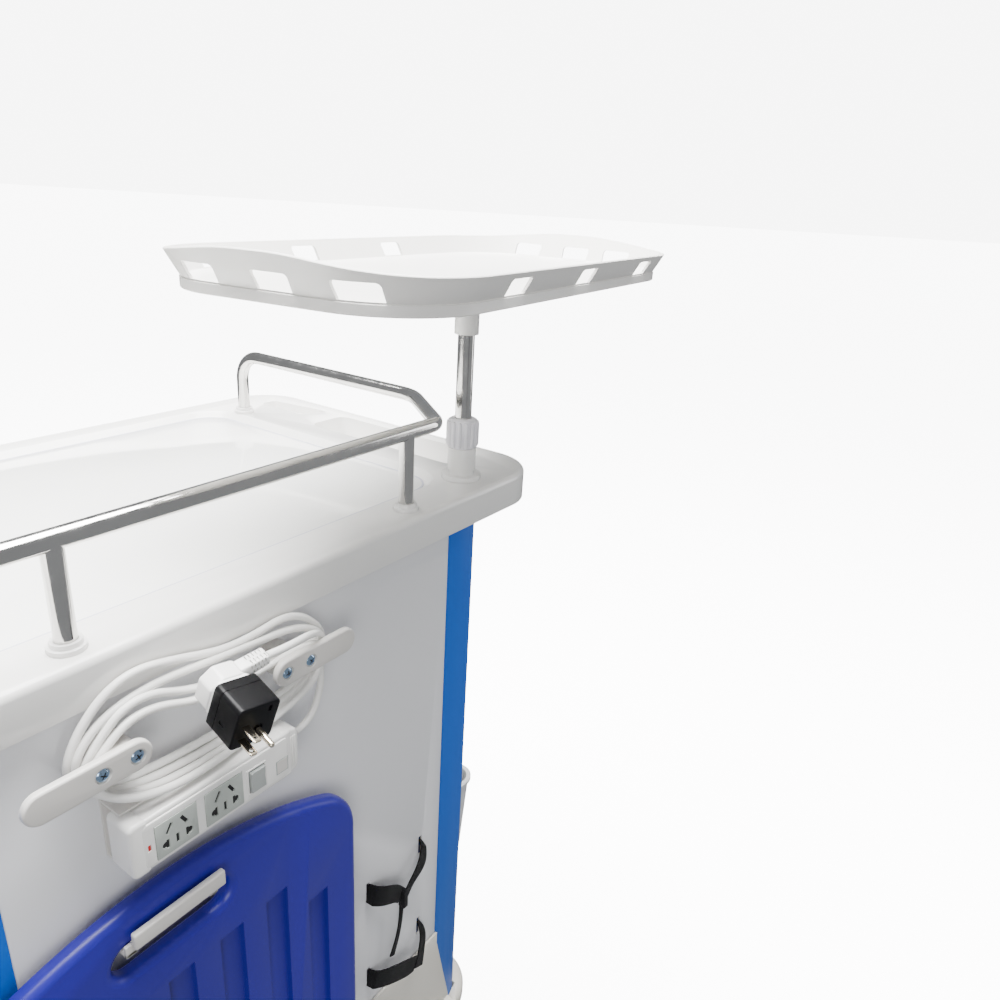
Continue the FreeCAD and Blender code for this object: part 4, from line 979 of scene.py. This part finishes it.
def make_label(number):
    """Clear holder with a blank card, on the left of a drawer front."""
    top = (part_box(f"drawer_front_{number}")[1] - CENTRE).z / MM
    z = top - LABEL_DROP
    a, b = LABEL_HALF
    outline = rounded_outline(LABEL_X - a, LABEL_X + a, z - b, z + b, 2.5, 4)
    rim = prism("rim", outline, FRONT_FACE - 1.8, FRONT_FACE + 0.6, 0.5, 2)
    x0, x1 = LABEL_X - a + LABEL_RIM, LABEL_X + a - LABEL_RIM
    z0, z1 = z - b + LABEL_RIM, z + b - LABEL_RIM
    rim = cut(rim, [block("window", (x0, FRONT_FACE - 3, z0), (x1, FRONT_FACE - 0.9, z1), 0)])
    blank = block("card", (x0, FRONT_FACE - 1.1, z0), (x1, FRONT_FACE - 0.4, z1), 0.1, 1)
    label = join(f"label_holder_{number}", [paint(rim, "socket_grey"), paint(blank, "plug_white")])
    return finish_piece(to_cart(label), None, f"drawer_{number}", "drawer_white")


for number in (1, 2, 3, 4):
    make_label(number)


# ------------------------------------------------------------------ carried-over CAD nodes

def round_cad_edges(node, width, angle=35.0):
    """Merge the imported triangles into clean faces, and break the sharp edges of a CAD node."""
    weld = node.modifiers.new("weld", "WELD")
    weld.merge_threshold = 0.00001
    flat = node.modifiers.new("flat", "DECIMATE")
    flat.decimate_type = "DISSOLVE"
    flat.angle_limit = math.radians(1.0)
    if width:
        bevel = node.modifiers.new("edge", "BEVEL")
        bevel.width = width * MM
        bevel.segments = 2
        bevel.limit_method = "ANGLE"
        bevel.angle_limit = math.radians(angle)
    split = node.modifiers.new("split", "EDGE_SPLIT")
    split.split_angle = math.radians(angle)
    split.use_edge_sharp = False


ROUND_TUBES = ("guard_rail", "push_handle", "shelf_pole")    # no sharp edges to break


def dress_cad_nodes():
    """Each CAD node takes the material of its slot, clean faces and soft edges."""
    slots = {s["node"]: s["material_slot"] for s in frame["record"]["subparts"]}
    for name, node in NODES.items():
        paint(node, slots[name])
        if "custom_normal" in node.data.attributes:
            node.data.attributes.remove(node.data.attributes["custom_normal"])
        node.data.shade_smooth()
        round_cad_edges(node, 0.0 if name in ROUND_TUBES else 0.5)


dress_cad_nodes()


# ------------------------------------------------------------------ floor and light

def card(name, size, centre, aim_at, material):
    """Flat sheet that isn't part of the cart, facing a point."""
    bm = bmesh.new()
    bmesh.ops.create_grid(bm, x_segments=1, y_segments=1, size=0.5)
    obj = from_bmesh(name, bm)
    obj.scale = (size[0], size[1], 1)
    obj.location = centre
    obj.rotation_euler = (Vector(aim_at) - Vector(centre)).to_track_quat("-Z", "Y").to_euler()
    obj.data.materials.append(material)
    return obj


def area_light(name, size, energy, centre, aim_at):
    data = bpy.data.lights.new(name, "AREA")
    data.shape = "RECTANGLE"
    data.size, data.size_y = size
    data.energy = energy
    obj = link(name, data)
    obj.location = centre
    obj.rotation_euler = (Vector(aim_at) - Vector(centre)).to_track_quat("-Z", "Y").to_euler()
    return obj


def add_world():
    """Soft grey surroundings for the object, and a white backdrop behind it."""
    world = bpy.data.worlds.new("studio")
    scene.world = world
    world.use_nodes = True
    nodes, links = world.node_tree.nodes, world.node_tree.links
    ambient = nodes["Background"]
    ambient.inputs["Color"].default_value = (0.93, 0.96, 1.0, 1.0)
    ambient.inputs["Strength"].default_value = 0.38
    backdrop = nodes.new("ShaderNodeBackground")
    backdrop.inputs["Strength"].default_value = 9.5
    mix = nodes.new("ShaderNodeMixShader")
    links.new(nodes.new("ShaderNodeLightPath").outputs["Is Camera Ray"], mix.inputs["Fac"])
    links.new(ambient.outputs[0], mix.inputs[1])
    links.new(backdrop.outputs[0], mix.inputs[2])
    links.new(mix.outputs[0], nodes["World Output"].inputs["Surface"])


def add_studio():
    """Pale floor, three soft lights, and two dark cards that only reflections show."""
    pale = Shader("floor_pale", (0.90, 0.90, 0.90), 0.75).paint(2.0, 0.01).set(
        Emission_Color=(1.0, 1.0, 1.0, 1.0), Emission_Strength=9.0).material
    floor = card("floor", (400, 400), (0, 0, -0.0005), (0, 0, -1), pale)
    floor.rotation_euler = (0, 0, 0)
    floor.visible_diffuse = False
    floor.visible_glossy = False
    add_world()
    middle = at(0, 0, -300)
    area_light("overhead", (2.6, 2.2), 680, middle + Vector((-0.2, -0.2, 2.7)), middle)
    area_light("key", (1.4, 1.8), 66, middle + Vector((2.4, 2.6, 1.1)), middle)
    area_light("rim", (0.5, 2.0), 15, middle + Vector((-2.6, 1.8, 0.7)), middle)
    dark = Shader("flag_dark", (0.02, 0.02, 0.02), 0.9).paint().material
    for i, (dx, dy, width) in enumerate(((3.2, -0.6, 0.5), (0.4, 3.8, 0.35))):
        flag = card(f"flag_{i}", (width, 2.2), middle + Vector((dx, dy, 0.5)), middle, dark)
        flag.visible_camera = False
        flag.visible_diffuse = False
        flag.visible_shadow = False


add_studio()
